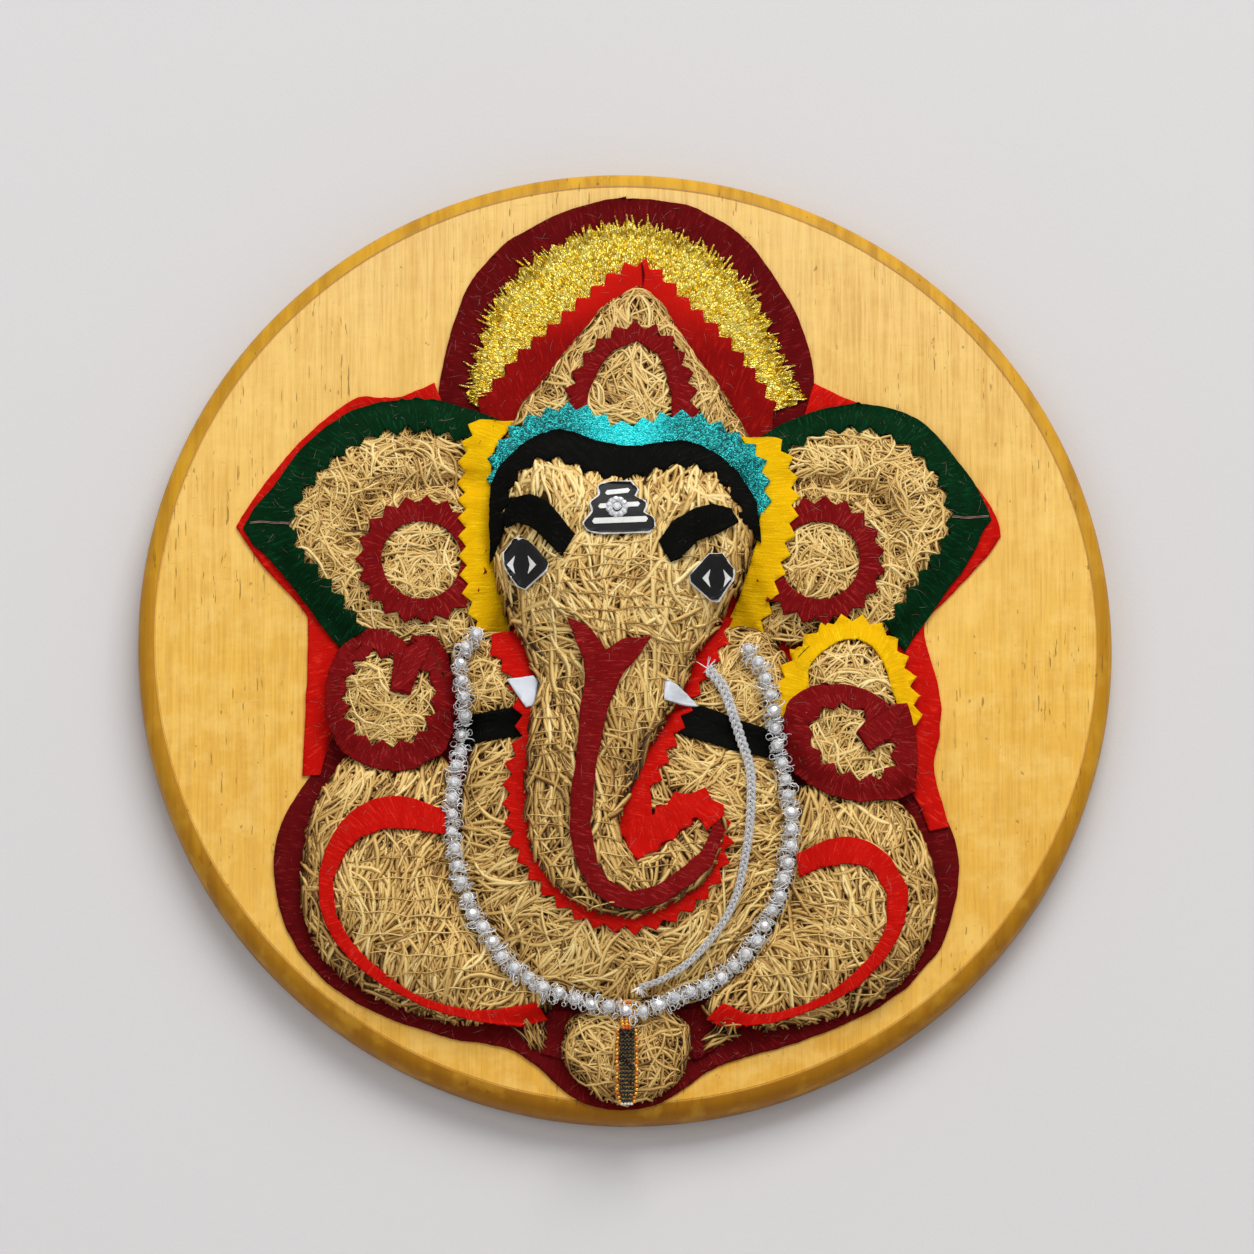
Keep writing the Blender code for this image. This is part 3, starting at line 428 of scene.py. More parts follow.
FINISHES = {
    "wood": varnished_wood(),
    "fibre": root_fibre(),
    "core": fibre_core_painted_shade(),
    "maroon": velvet("velvet_maroon", (0.190, 0.004, 0.005), (0.095, 0.002, 0.003),
                     (0.30, 0.018, 0.018)),
    "crimson": velvet("velvet_crimson", (0.290, 0.006, 0.007), (0.165, 0.003, 0.004),
                      (0.44, 0.035, 0.032), 0.5, 0.55),
    "red": velvet("velvet_red", (0.72, 0.008, 0.004), (0.50, 0.004, 0.002), (0.86, 0.04, 0.02),
                  0.25, 0.45),
    "dark_red": velvet("velvet_dark_red", (0.40, 0.006, 0.005), (0.22, 0.003, 0.003),
                       (0.56, 0.018, 0.010), 0.35, 0.4, (0.66, 0.010, 0.005)),
    "green": velvet("velvet_green", (0.001, 0.038, 0.010), (0.001, 0.016, 0.004),
                    (0.005, 0.095, 0.028), 0.5),
    "yellow": velvet("velvet_yellow", (0.99, 0.65, 0.001), (0.80, 0.43, 0.001),
                     (1.0, 0.76, 0.015), 0.1, 0.45),
    "black": velvet("velvet_black", (0.0048, 0.0048, 0.0040), (0.0025, 0.0025, 0.0020),
                    (0.013, 0.013, 0.011), 0.2),
    "gold": crumpled_gold(),
    "turquoise": glitter_turquoise(),
    "white": plain_gloss("white_card", (0.72, 0.76, 0.82), (0.62, 0.66, 0.72), 120.0, 0.35),
    "sticker": plain_gloss("black_sticker", (0.0045, 0.0045, 0.0050), (0.009, 0.009, 0.010), 200.0,
                           0.45, Specular_IOR_Level=0.25),
    "lines": plain_gloss("white_lines", (0.84, 0.84, 0.82), (0.70, 0.70, 0.68), 400.0, 0.5),
    # Painted reflections: the silver wire, the clear stones and the metal thread are mottled white
    # and grey, standing for their glints and dark facets
    "silver": plain_gloss("silver_wire", (1.0, 1.0, 1.0), (0.42, 0.44, 0.46), 900.0, 0.22,
                          0.15, Metallic=0.10),
    "stone": plain_gloss("clear_stone", (1.0, 1.0, 1.0), (0.45, 0.48, 0.52), 800.0, 0.05,
                         0.06, Metallic=0.10, Coat_Weight=0.8),
    "thread": plain_gloss("metal_thread", (0.98, 0.99, 1.0), (0.76, 0.78, 0.80), 1300.0, 0.25,
                          0.2, 0.0002, Metallic=0.05),
    "black_bead": plain_gloss("black_bead", (0.004, 0.004, 0.005), (0.007, 0.007, 0.007), 300.0,
                              0.08, Specular_IOR_Level=0.5),
    "gold_bead": plain_gloss("gold_bead", (0.95, 0.55, 0.08), (0.80, 0.36, 0.04), 500.0, 0.2,
                             Metallic=0.8),
    "orange_bead": plain_gloss("orange_bead", (0.78, 0.17, 0.008), (0.48, 0.07, 0.005), 500.0,
                               0.12),
    "lint": plain_gloss("lint", (0.50, 0.33, 0.28), (0.26, 0.13, 0.11), 300.0, 0.8,
                        Specular_IOR_Level=0.1),
}


# The relief: how high each layer reaches


def cell(value):
    return int(round(value / CELL)) + COUNT // 2


def place_of(index, shift=0.0):
    """The place of a cell, or of an array of cells, along x or z."""
    return (index - COUNT // 2 + shift) * CELL


COUNT = 2 * int(BOARD_RADIUS / CELL + 4)
TOP = np.full((COUNT, COUNT), BOARD_THICKNESS)
OWNER = np.full((COUNT, COUNT), -1)


def averages(values, mask, reach, steps):
    """The soft average of the values inside a mask, and the mask's own share of it."""
    weights = np.exp(-0.5 * (np.arange(-steps, steps + 1) * CELL / reach) ** 2)
    total, share = np.where(mask, values, 0.0), mask.astype(float)
    for axis in (0, 1):
        total, share = (soften(m, weights, axis) for m in (total, share))
    return total / np.maximum(share, 1e-9), share


def blur(values, mask, reach):
    """A soft average over the cells inside a mask."""
    return np.where(mask, averages(values, mask, reach, max(1, int(2.5 * reach / CELL)))[0], values)


def soften(values, weights, axis):
    half = len(weights) // 2
    width = [(half, half) if k == axis else (0, 0) for k in (0, 1)]
    wide = np.pad(values, width)
    size = values.shape[axis]
    return sum(w * np.take(wide, range(k, k + size), axis=axis) for k, w in enumerate(weights))


def spread(values, mask, base, reach=0.0014):
    """The values inside a mask, carried on a little way past its edge."""
    average, share = averages(values, mask, reach, int(3 * reach / CELL))
    return np.where(mask, values, np.where(share > 0.02, average, base))


def shrink(mask, round_off=False):
    wide = np.pad(mask, 1)
    inner = mask & wide[2:, 1:-1] & wide[:-2, 1:-1] & wide[1:-1, 2:] & wide[1:-1, :-2]
    if round_off:
        inner &= wide[2:, 2:] & wide[:-2, :-2] & wide[2:, :-2] & wide[:-2, 2:]
    return inner


def grow(mask, reach):
    out = ~mask
    for k in range(max(1, int(reach / CELL))):
        out = shrink(np.pad(out, 1, constant_values=True), k % 2 == 1)[1:-1, 1:-1]
    return ~out


def depth_inside(mask, reach):
    """Distance to the mask's edge, up to a reach."""
    left, depth = mask.copy(), np.zeros(mask.shape)
    for k in range(int(reach / CELL) + 1):
        depth += left * CELL
        left = shrink(left, k % 2 == 1)
    return depth


def piece_of(index):
    """The scene's piece for a layer, or the board under them all."""
    if index < 0:
        return "wood_board"
    return LAYERS[index] + ("_mat" if LAYERS[index] in PADS else "_cut")


class Layer:
    """One piece of the hanging as heights over its own patch of the grid."""

    def __init__(self, name):
        self.name = name
        low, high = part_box(name)
        self.i, self.j = cell(low.x) - 3, cell(low.z) - 3
        self.shape = (cell(high.x) + 4 - self.i, cell(high.z) + 4 - self.j)
        self.patch = np.s_[self.i:self.i + self.shape[0], self.j:self.j + self.shape[1]]
        mesh = NODES[name].data
        tree = BVHTree.FromPolygons([v.co for v in mesh.vertices],
                                    [p.vertices for p in mesh.polygons])
        self.solid = np.full(self.shape, np.nan)
        towards = Vector((0, 1, 0))
        for a in range(self.shape[0]):
            for b in range(self.shape[1]):
                spot = Vector((place_of(self.i + a), -1.0, place_of(self.j + b)))
                hit = tree.ray_cast(spot, towards)[0]
                if hit:
                    self.solid[a, b] = -hit.y
        self.mask = ~np.isnan(self.solid)
        self.solid = np.nan_to_num(self.solid)
        self.base = TOP[self.patch].copy()
        below, counts = np.unique(OWNER[self.patch][self.mask], return_counts=True)
        self.under = [piece_of(k) for k, n in zip(below, counts) if n > 0.1 * counts.sum()]

    def lay_sheet(self):
        """Drapes the sheet over what is behind it, bridging the small gaps."""
        soft = blur(self.base, self.mask, 0.0024)
        soft = np.maximum(soft, blur(np.maximum(self.base, soft), self.mask, 0.0010))
        self.heights = np.where(self.mask, np.maximum(soft, self.base) + SHEET, self.base)
        self.heights = np.where(self.mask, blur(self.heights, self.mask, 0.0008), self.base)
        self.heights = spread(self.heights, self.mask, self.base)
        self.settle(self.heights)

    def lay_pad(self, dents=()):
        """A soft mat: its solid's height, with the edges rolled down to what is behind it."""
        crown = blur(self.solid, self.mask, PAD_SOFTNESS)
        depth = np.minimum(depth_inside(self.mask, PAD_ROLL) / PAD_ROLL, 1.0)
        roll = np.sqrt(1.0 - (1.0 - depth) ** 2)
        back = blur(self.base, self.mask, PAD_SOFTNESS)
        heights = back + np.maximum(crown - back, 0.002) * (0.25 + 0.75 * roll)
        for path, deep, wide in dents:
            heights -= deep * np.exp(-(self.distance(path) / wide) ** 2)
        heights = np.maximum(heights, self.base + 0.0012)
        self.heights = np.where(self.mask, blur(heights, self.mask, 0.0012), self.base)
        self.settle(self.heights + FIBRE_BED)

    def distance(self, path):
        """Distance of each cell of the patch from a path."""
        a, b = np.mgrid[0:self.shape[0], 0:self.shape[1]]
        x, z = place_of(self.i + a), place_of(self.j + b)
        return np.min([np.hypot(x - p.x, z - p.y) for p in path], axis=0)

    def settle(self, heights):
        TOP[self.patch][self.mask] = heights[self.mask]
        OWNER[self.patch][self.mask] = LAYERS.index(self.name)


def sample(grid, x, z):
    """Reads a grid between its cells."""
    u = np.clip(np.asarray(x) / CELL + COUNT // 2, 1, COUNT - 3)
    v = np.clip(np.asarray(z) / CELL + COUNT // 2, 1, COUNT - 3)
    i, j = u.astype(int), v.astype(int)
    s, t = u - i, v - j
    return ((grid[i, j] * (1 - s) + grid[i + 1, j] * s) * (1 - t)
            + (grid[i, j + 1] * (1 - s) + grid[i + 1, j + 1] * s) * t)


def on_top(px, py):
    """A picture point, as the place where its line of sight meets the finished relief."""
    rise = 0.0
    for _ in range(16):
        spot = at(px, py, rise)
        rise = (rise + float(sample(TOP, spot.x, spot.y)) - BOARD_THICKNESS) / 2
    return at(px, py, rise)


def picture_path(rise, *pairs, step=0.003):
    return smooth_path([at(px, py, rise) for px, py in pairs], step)


# Creases sewn into the mats: the path, its depth and half its width
DENTS = {
    "ear_pad_L": [(picture_path(0.006, (478, 486), (440, 487), (405, 489), (378, 500), (358, 520),
                                (348, 548)), 0.0044, 0.0026)],
    "ear_pad_R": [(picture_path(0.006, (790, 484), (820, 481), (845, 482), (871, 492), (888, 506),
                                (897, 524), (899, 548)), 0.0044, 0.0026)],
}


def lay_layers():
    made = {}
    for name in LAYERS:
        layer = Layer(name)
        if name in PADS:
            layer.lay_pad(DENTS.get(name, ()))
        else:
            layer.lay_sheet()
        made[name] = layer
    return made


RELIEF = lay_layers()


def full_grid(layer):
    grid = TOP.copy()
    grid[layer.patch] = layer.heights
    return grid


# Pieces


def deselect():
    bpy.ops.object.select_all(action="DESELECT")


def keep(piece, slot, *replaced):
    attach(piece, "root")
    if replaced:
        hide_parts(*replaced)
    return piece


def link(name, data):
    """A new object in the scene."""
    made = bpy.data.objects.new(name, data)
    bpy.context.scene.collection.objects.link(made)
    return made


def apply(piece, kind, **settings):
    """Applies a modifier to a piece, which is left selected."""
    deselect()
    piece.select_set(True)
    bpy.context.view_layer.objects.active = piece
    modifier = piece.modifiers.new(kind.lower(), kind)
    for key, value in settings.items():
        setattr(modifier, key, value)
    bpy.ops.object.modifier_apply(modifier=modifier.name)


def cylinder(radius, depth, place, vertices):
    """A cylinder that runs along y."""
    deselect()
    bpy.ops.mesh.primitive_cylinder_add(vertices=vertices, radius=radius, depth=depth,
                                        location=place, rotation=(math.pi / 2, 0, 0))
    return bpy.context.object


def pick(piece, kind, wanted):
    """Selects the wanted faces or edges of the piece that is being edited."""
    bpy.ops.mesh.select_all(action="DESELECT")
    bpy.ops.mesh.select_mode(type=kind)
    shape = bmesh.from_edit_mesh(piece.data)
    for element in shape.faces if kind == "FACE" else shape.edges:
        element.select_set(wanted(element))
    bmesh.update_edit_mesh(piece.data)


def make_board():
    """A turned board: its front edge rounded, with a fine step where the rounding starts."""
    board = cylinder(BOARD_RADIUS, BOARD_THICKNESS, (0, -BOARD_THICKNESS / 2, 0), 192)
    board.name = board.data.name = "wood_board"
    bpy.ops.object.transform_apply(location=True, rotation=True, scale=True)
    bpy.ops.object.mode_set(mode="EDIT")
    pick(board, "FACE", lambda face: face.normal.y < -0.9)
    bpy.ops.mesh.region_to_loop()
    bpy.ops.mesh.bevel(offset=BOARD_ROUNDING, segments=7, profile=0.5)
    pick(board, "FACE", lambda face: face.normal.y < -0.999 and len(face.verts) > 100)
    for width, depth in FACE_STEPS:
        bpy.ops.mesh.inset(thickness=width)
        bpy.ops.transform.translate(value=(0, depth, 0))
    pick(board, "EDGE", lambda edge: all(vert.co.y > -1e-5 for vert in edge.verts))
    bpy.ops.mesh.bevel(offset=BACK_BEVEL, segments=2)
    bpy.ops.object.mode_set(mode="OBJECT")
    drill = cylinder(HOOK_HOLE_RADIUS, 2 * HOOK_HOLE_DEPTH, (0, 0, HOOK_HOLE_HEIGHT), 32)
    apply(board, "BOOLEAN", object=drill, operation="DIFFERENCE")
    bpy.data.objects.remove(drill)
    board.data.materials.clear()
    board.data.materials.append(FINISHES["wood"])
    bpy.ops.object.shade_smooth_by_angle(angle=math.radians(28))
    return keep(board, "varnished_wood", "board")


def copied_node(name, new_name):
    """A merged copy of a CAD node's mesh, as a new object."""
    piece = link(new_name, NODES[name].data.copy())
    piece.data.name = new_name
    shape = bmesh.new()
    shape.from_mesh(piece.data)
    bmesh.ops.remove_doubles(shape, verts=shape.verts[:], dist=MERGE)
    shape.to_mesh(piece.data)
    shape.free()
    piece.data.materials.clear()
    return piece


def make_core(layer):
    """The closed body of a mat, under its loose fibres."""
    piece = copied_node(layer.name, layer.name + "_mat")
    apply(piece, "REMESH", mode="VOXEL", voxel_size=CORE_STEP)
    apply(piece, "SMOOTH", factor=0.5, iterations=6)
    grid = full_grid(layer)
    mesh = piece.data
    count = len(mesh.vertices)
    spots, normals = np.empty(count * 3), np.empty(count * 3)
    mesh.vertices.foreach_get("co", spots)
    mesh.vertices.foreach_get("normal", normals)
    spots, normals = spots.reshape(-1, 3), normals.reshape(-1, 3)
    front = np.clip((-normals[:, 1] - 0.25) / 0.3, 0, 1)
    target = CORE_SINK - sample(grid, spots[:, 0], spots[:, 2])
    spots[:, 1] = np.minimum(spots[:, 1] * (1 - front) + target * front, -BOARD_THICKNESS - 0.001)
    mesh.vertices.foreach_set("co", spots.ravel())
    # The core's dark colour is painted shade for the gaps between the fibres
    mesh.materials.append(FINISHES["core"])
    bpy.ops.object.shade_smooth()
    keep(piece, "root_fibre_mat", layer.name)
    return piece


def ceiling_over(index):
    """How high fibres of a mat may stand, under the layers laid over it."""
    roof = np.full((COUNT, COUNT), 1.0)
    for name in LAYERS[index + 1:]:
        layer = RELIEF[name]
        under = layer.base + 0.0003 if name in PADS else layer.heights - SHEET
        cover = layer.mask if name in PADS else grow(layer.mask, 0.0008)
        patch = roof[layer.patch]
        patch[cover] = np.minimum(patch[cover], under[cover])
    return roof


# Painted shade along a fibre's edges and a painted highlight along its ridge: how much darker or
# lighter its tone is there
RIBBON_SHADES = (-0.26, 0.10, -0.26)
# Which way the fibres of a mat mostly run, and how far they stray from it, in radians
HEADINGS = {"head_trunk_pad": (1.57, 0.40), "leg_pad_L": (1.35, 0.35), "leg_pad_R": (2.0, 0.45),
            "belly_pad": (0.5, 0.7), "crown_pad": (1.3, 0.7)}
# How wide, flat and stiff the roots of a mat are; those of the other mats are at USUAL_ROOTS
FLAT_ROOTS = {"head_trunk_pad": 1.25, "leg_pad_L": 1.15, "leg_pad_R": 1.15, "belly_pad": 1.05}
USUAL_ROOTS = 0.82
# How much darker the roots of a mat are than those of the ears; below 0, lighter
MAT_SHADES = {"head_trunk_pad": -0.07, "leg_pad_L": 0.12, "leg_pad_R": 0.10, "foot_pad": 0.13,
              "belly_pad": 0.07, "upper_arm_pad_L": 0.05, "upper_arm_pad_R": 0.05}


def fibre_mesh(name, paths, widths, rolls, tones, finish="fibre", flat=0.5):
    """Closed three-sided fibres along the given paths; each has one tone, with painted shade along
    its edges and a painted highlight along its ridge.
    """
    count, steps = paths.shape[:2]
    ways = np.gradient(paths, axis=1)
    ways /= np.maximum(np.linalg.norm(ways, axis=2, keepdims=True), 1e-9)
    front = np.array([0.0, -1.0, 0.0])
    across = np.cross(ways, front)
    across /= np.maximum(np.linalg.norm(across, axis=2, keepdims=True), 1e-9)
    up = np.cross(across, ways)
    roll = rolls[:, None, None]
    side = across * np.cos(roll) + up * np.sin(roll)
    rise = up * np.cos(roll) - across * np.sin(roll)
    taper = 0.45 + 0.55 * np.sin(np.linspace(0.12, math.pi - 0.12, steps))[None, :, None] ** 0.6
    half = widths[:, None, None] / 2 * taper
    rings = np.stack([paths + side * half, paths + rise * half * 2 * flat,
                      paths - side * half], axis=2)
    start = np.arange(count)[:, None] * steps * 3
    ring = start + np.arange(steps - 1)[None] * 3
    quads = []
    for a, b in ((0, 1), (1, 2), (2, 0)):
        quads.append(np.stack([ring + a, ring + b, ring + b + 3, ring + a + 3], axis=-1))
    quads = np.stack(quads, axis=2).reshape(-1, 4)
    first = start[:, 0]
    last = first + (steps - 1) * 3
    caps = np.concatenate([np.stack([first + 2, first + 1, first], axis=-1),
                           np.stack([last, last + 1, last + 2], axis=-1)])
    mesh = bpy.data.meshes.new(name)
    mesh.vertices.add(count * steps * 3)
    mesh.vertices.foreach_set("co", rings.reshape(-1))
    corners = np.concatenate([quads.ravel(), caps.ravel()])
    mesh.loops.add(len(corners))
    mesh.loops.foreach_set("vertex_index", corners)
    sizes = np.concatenate([np.full(len(quads), 4), np.full(len(caps), 3)])
    mesh.polygons.add(len(sizes))
    mesh.polygons.foreach_set("loop_start", np.concatenate([[0], np.cumsum(sizes)[:-1]]))
    mesh.polygons.foreach_set("use_smooth", np.concatenate(
        [np.ones(len(quads), bool), np.zeros(len(caps), bool)]))
    mesh.update(calc_edges=True)
    attribute = mesh.attributes.new("tone", "FLOAT", "POINT")
    shades = tones[:, None, None] + np.array(RIBBON_SHADES)[None, None]
    shades = np.broadcast_to(shades, (count, steps, 3)).ravel().astype(np.float32)
    attribute.data.foreach_set("value", shades)
    mesh.materials.append(FINISHES[finish])
    return link(name, mesh)


def make_fibres(layer):
    """Loose roots tangled over a mat."""
    index = LAYERS.index(layer.name)
    inside = np.zeros((COUNT, COUNT), bool)
    inside[layer.patch] = layer.mask
    seen = OWNER == index
    allowed = grow(seen, 0.0030) & grow(inside, 0.0012)
    heading, stray = HEADINGS.get(layer.name, (0.0, 3.0))
    shade = np.full((COUNT, COUNT), MAT_SHADES.get(layer.name, 0.0))
    # Painted shade: roots near the mat's edge, along its creases and down the lower trunk are
    # darker, where shade falls
    inward = np.minimum(depth_inside(layer.mask, EDGE_SHADE_REACH) / EDGE_SHADE_REACH, 1.0)
    shade[layer.patch] += EDGE_SHADE * (1 - inward)
    for path, _, wide in DENTS.get(layer.name, ()):
        shade[layer.patch] += CREASE_SHADE * np.exp(-(layer.distance(path) / (wide * 0.8)) ** 2)
    if layer.name == "head_trunk_pad":
        z = place_of(np.arange(COUNT))
        shade += TRUNK_SHADE * np.clip((at(0, 620).y - z) / 0.04, 0, 1)
    piece = tangle(layer.name + "_roots", index, grow(seen, 0.0012) & inside, allowed,
                   full_grid(layer), heading, stray, shade, rim_turn(inside),
                   FLAT_ROOTS.get(layer.name, USUAL_ROOTS))
    return keep(piece, "root_fibre_mat")


def rim_turn(inside):
    """The direction along a mat's edge for the cells near it, and nothing elsewhere."""
    depth = depth_inside(inside, RIM_REACH)
    near = blur(inside.astype(float), np.ones(inside.shape, bool), 0.0025)
    slope_x, slope_z = np.gradient(near)
    turn = np.arctan2(slope_x, -slope_z)
    return np.where(depth < RIM_REACH, turn, np.nan)


def drift(reach):
    """A slowly changing number over the cells, so that neighbouring fibres run together."""
    field = blur(rng.normal(0, 1, (COUNT, COUNT)), np.ones((COUNT, COUNT), bool), reach)
    return field / field.std()


def scatter(source, count):
    """Random cells of a mask, and a place in each."""
    cells_seen = np.argwhere(source)
    picked = cells_seen[rng.integers(0, len(cells_seen), count)]
    return picked, place_of(picked, rng.uniform(-0.5, 0.5, (count, 2)))


def bowed(centre, angle, reach, bend, curl):
    """Places along bent fibres, at the given distances from their middles."""
    way = np.stack([np.cos(angle), np.sin(angle)], axis=-1)
    side = np.stack([-way[:, 1], way[:, 0]], axis=-1)
    aside = bend[:, None] * reach ** 2 / 2 + curl[:, None] * reach ** 3
    return centre[:, None] + way[:, None] * reach[..., None] + side[:, None] * aside[..., None]


def tangle(name, index, source, allowed, bed, heading, stray, shade, rim, broad=USUAL_ROOTS,
           steps=8):
    """Bent, tapered fibres from the source cells, tucked under what lies over them."""
    count = int(source.sum() * CELL * CELL * FIBRE_DENSITY / broad)
    picked, centre = scatter(source, count)
    angle = heading + stray * drift(0.0045)[picked[:, 0], picked[:, 1]] + rng.normal(0, 0.25, count)
    angle = np.where(rng.random(count) < 0.25, rng.uniform(0, math.pi, count), angle)
    along = rim[picked[:, 0], picked[:, 1]]
    follow = ~np.isnan(along) & (rng.random(count) < 0.8)
    angle = np.where(follow, np.nan_to_num(along) + rng.normal(0, 0.35, count), angle)
    length = np.minimum(rng.gamma(3.0, 0.0034, count) + FIBRE_SHORTEST, FIBRE_LONGEST)
    length = length * np.where(follow, RIM_SHORTENING, 1.0)
    bend = rng.normal(0, FIBRE_BEND / broad ** 2, count)
    curl = rng.normal(0, FIBRE_CURL / broad ** 2, count)
    where = bowed(centre, angle, length[:, None] * np.linspace(-0.5, 0.5, 17)[None], bend, curl)
    i = np.clip(np.round(where / CELL).astype(int) + COUNT // 2, 0, COUNT - 1)
    free = allowed[i[..., 0], i[..., 1]]
    ahead = np.cumprod(free[:, 8:], axis=1).sum(axis=1) - 1
    behind = np.cumprod(free[:, 8::-1], axis=1).sum(axis=1) - 1
    good = (ahead + behind) >= 3
    low, high = -behind / 16.0, ahead / 16.0
    share = np.linspace(0, 1, steps)[None]
    reach = length[:, None] * (low[:, None] + (high - low)[:, None] * share)
    plan = bowed(centre, angle, reach, bend, curl)
    level = rng.random(count)
    lift = -0.0009 + 0.0012 * level + (rng.random(count) < 0.04) * 0.0003
    arch = 0.0003 * (1 - (2 * share - 1) ** 2) - 0.0005 * (np.abs(2 * share - 1) > 0.9)
    weave = 0.00022 * np.sin(share * length[:, None] * 1400 + rng.uniform(0, 6, count)[:, None])
    height = sample(bed, plan[..., 0], plan[..., 1]) + lift[:, None] + arch + weave
    roof = sample(ceiling_over(index), plan[..., 0], plan[..., 1])
    height = np.minimum(height, roof - ROOF_GAP)
    paths = np.stack([plan[..., 0], -height, plan[..., 1]], axis=-1)[good]
    widths = (FIBRE_WIDTH * broad * np.clip(rng.lognormal(0, 0.30, count), 0.45, 1.5))[good]
    # Painted shade: fibres lying lower in the mat are darker, and higher ones lighter
    tones = rng.normal(0.41, 0.17, count) + 0.36 * level - shade[picked[:, 0], picked[:, 1]]
    rolls = rng.normal(0, 0.35, count)[good]
    return fibre_mesh(name, paths, widths, rolls, np.clip(tones, 0.0, 1.0)[good], flat=0.45 / broad)


def make_threads(name, pitch, top, low, slope):
    """Fine threads that bind a mat, sewn across it in rows."""
    index = LAYERS.index(name)
    paths, steps = [], 22
    for row in np.arange(low, top, pitch):
        z = row + rng.normal(0, 0.0005)
        shift = slope * (z - low)
        j = cell(z)
        run = np.argwhere(OWNER[:, j] == index)[:, 0]
        for part in np.split(run, np.argwhere(np.diff(run) > 1)[:, 0] + 1):
            if len(part) * CELL < 0.006:
                continue
            x = np.linspace(place_of(part[0] + 1), place_of(part[-1] - 1), steps)
            phase = rng.uniform(0, math.tau, 2)
            sag = 0.0008 * np.sin(x * 160 + phase[0]) + 0.0004 * np.sin(x * 520 + phase[1]) + shift
            height = sample(TOP, x, z + sag) + 0.0001 + 0.0003 * np.sin(x * 900 + phase[1])
            paths.append(np.stack([x, -height, z + sag], axis=-1))
    count = len(paths)
    piece = fibre_mesh(name + "_threads", np.array(paths), np.full(count, THREAD_WIDTH),
                       np.zeros(count), rng.uniform(0.35, 0.85, count), flat=0.6)
    return keep(piece, "root_fibre_mat")


TUFTS = {"root_tuft_L": ((511, 1024), (530, 1020), (547, 1024), (546, 1034), (541, 1048),
                         (534, 1045), (522, 1036)),
         "root_tuft_R": ((704, 1030), (716, 1024), (737, 1022), (736, 1032), (722, 1040),
                         (706, 1046))}


def make_root_tufts():
    """Ends of the leg mats that show between the sheets beside the foot."""
    a, b = np.mgrid[0:COUNT, 0:COUNT]
    x, z = place_of(a), place_of(b)
    for name, outline in TUFTS.items():
        source = inside_outline([on_top(px, py) for px, py in outline], x, z)
        bed = TOP + 0.0012 * blur(source.astype(float), np.ones(source.shape, bool), 0.0012)
        heading = 2.5 if name.endswith("L") else 0.5
        piece = tangle(name, len(LAYERS), source, grow(source, 0.0016), bed, heading, 0.5,
                       np.full(TOP.shape, 0.34), np.full(TOP.shape, np.nan))
        keep(piece, "root_fibre_mat")


def inside_outline(points, x, z):
    """Which places of a grid lie inside a closed outline."""
    inside = np.zeros(x.shape, bool)
    for one, two in zip(points, points[1:] + points[:1]):
        crossed = (one.y > z) != (two.y > z)
        slope = (two.x - one.x) / (two.y - one.y if two.y != one.y else 1e-9)
        inside ^= crossed & (x < one.x + (z - one.y) * slope)
    return inside


def outlines_of(name):
    """The outlines of a thin CAD node seen from the front, as closed lists of points."""
    shape = bmesh.new()
    shape.from_mesh(NODES[name].data)
    bmesh.ops.remove_doubles(shape, verts=shape.verts[:], dist=MERGE)
    shape.normal_update()
    back = [face for face in shape.faces if face.normal.y > -0.02]
    bmesh.ops.delete(shape, geom=back, context="FACES")
    for vert in shape.verts:
        vert.co.y = 0.0
    bmesh.ops.dissolve_limit(shape, angle_limit=0.02, verts=shape.verts[:], edges=shape.edges[:])
    after = {edge.link_loops[0].vert: edge.link_loops[0].link_loop_next.vert
             for edge in shape.edges if edge.is_boundary}
    loops = []
    while after:
        vert = next(iter(after))
        loop = []
        while vert in after:
            loop.append(vert.co.xz)
            vert = after.pop(vert)
        loops.append(loop)
    shape.free()
    return loops


def rounded(loop, step=0.0012, corner=0.72):
    """A closed outline, drawn as a curve where it turns gently; its sharp corners stay."""
    out, count = [], len(loop)
    ways = [(loop[(k + 1) % count] - loop[k]) for k in range(count)]
    sharp = [abs(ways[k - 1].angle_signed(ways[k], 0.0)) > corner for k in range(count)]
    for k in range(count):
        b, c = loop[k], loop[(k + 1) % count]
        a = b if sharp[k] else loop[k - 1]
        d = c if sharp[(k + 1) % count] else loop[(k + 2) % count]
        straight = sharp[k] and sharp[(k + 1) % count]
        pieces = 1 if straight else max(1, round((c - b).length / step))
        for m in range(pieces):
            t = m / pieces
            out.append(0.5 * (2 * b + (c - a) * t + (2 * a - 5 * b + 4 * c - d) * t * t
                              + (3 * b - a - 3 * c + d) * t ** 3))
    return out


def flat_shape(loops):
    """A flat filled shape; the outlines after the first are holes."""
    shape = bmesh.new()
    flats = [[Vector((p.x, p.y, 0.0)) for p in loop] for loop in loops]
    verts = [shape.verts.new((p.x, 0.0, p.y)) for loop in flats for p in loop]
    for corners in tessellate_polygon(flats):
        if len(set(corners)) == 3:
            shape.faces.new([verts[k] for k in corners])
    return shape


def refine(shape, step):
    """Cuts a flat shape by an even net, so that it can be draped."""
    for axis in (0, 2):
        values = [vert.co[axis] for vert in shape.verts]
        normal = (1, 0, 0) if axis == 0 else (0, 0, 1)
        for k in range(math.ceil(min(values) / step), math.floor(max(values) / step) + 1):
            spot = (k * step, 0, 0) if axis == 0 else (0, 0, k * step)
            bmesh.ops.bisect_plane(shape, geom=shape.verts[:] + shape.edges[:] + shape.faces[:],
                                   dist=1e-6, plane_co=spot, plane_no=normal)


def wobble(spot, amount, size, seed=0.0):
    turned = noise.noise_vector(Vector((spot.x / size, seed, spot.z / size)))
    return Vector((turned.x, 0.0, turned.z)) * amount


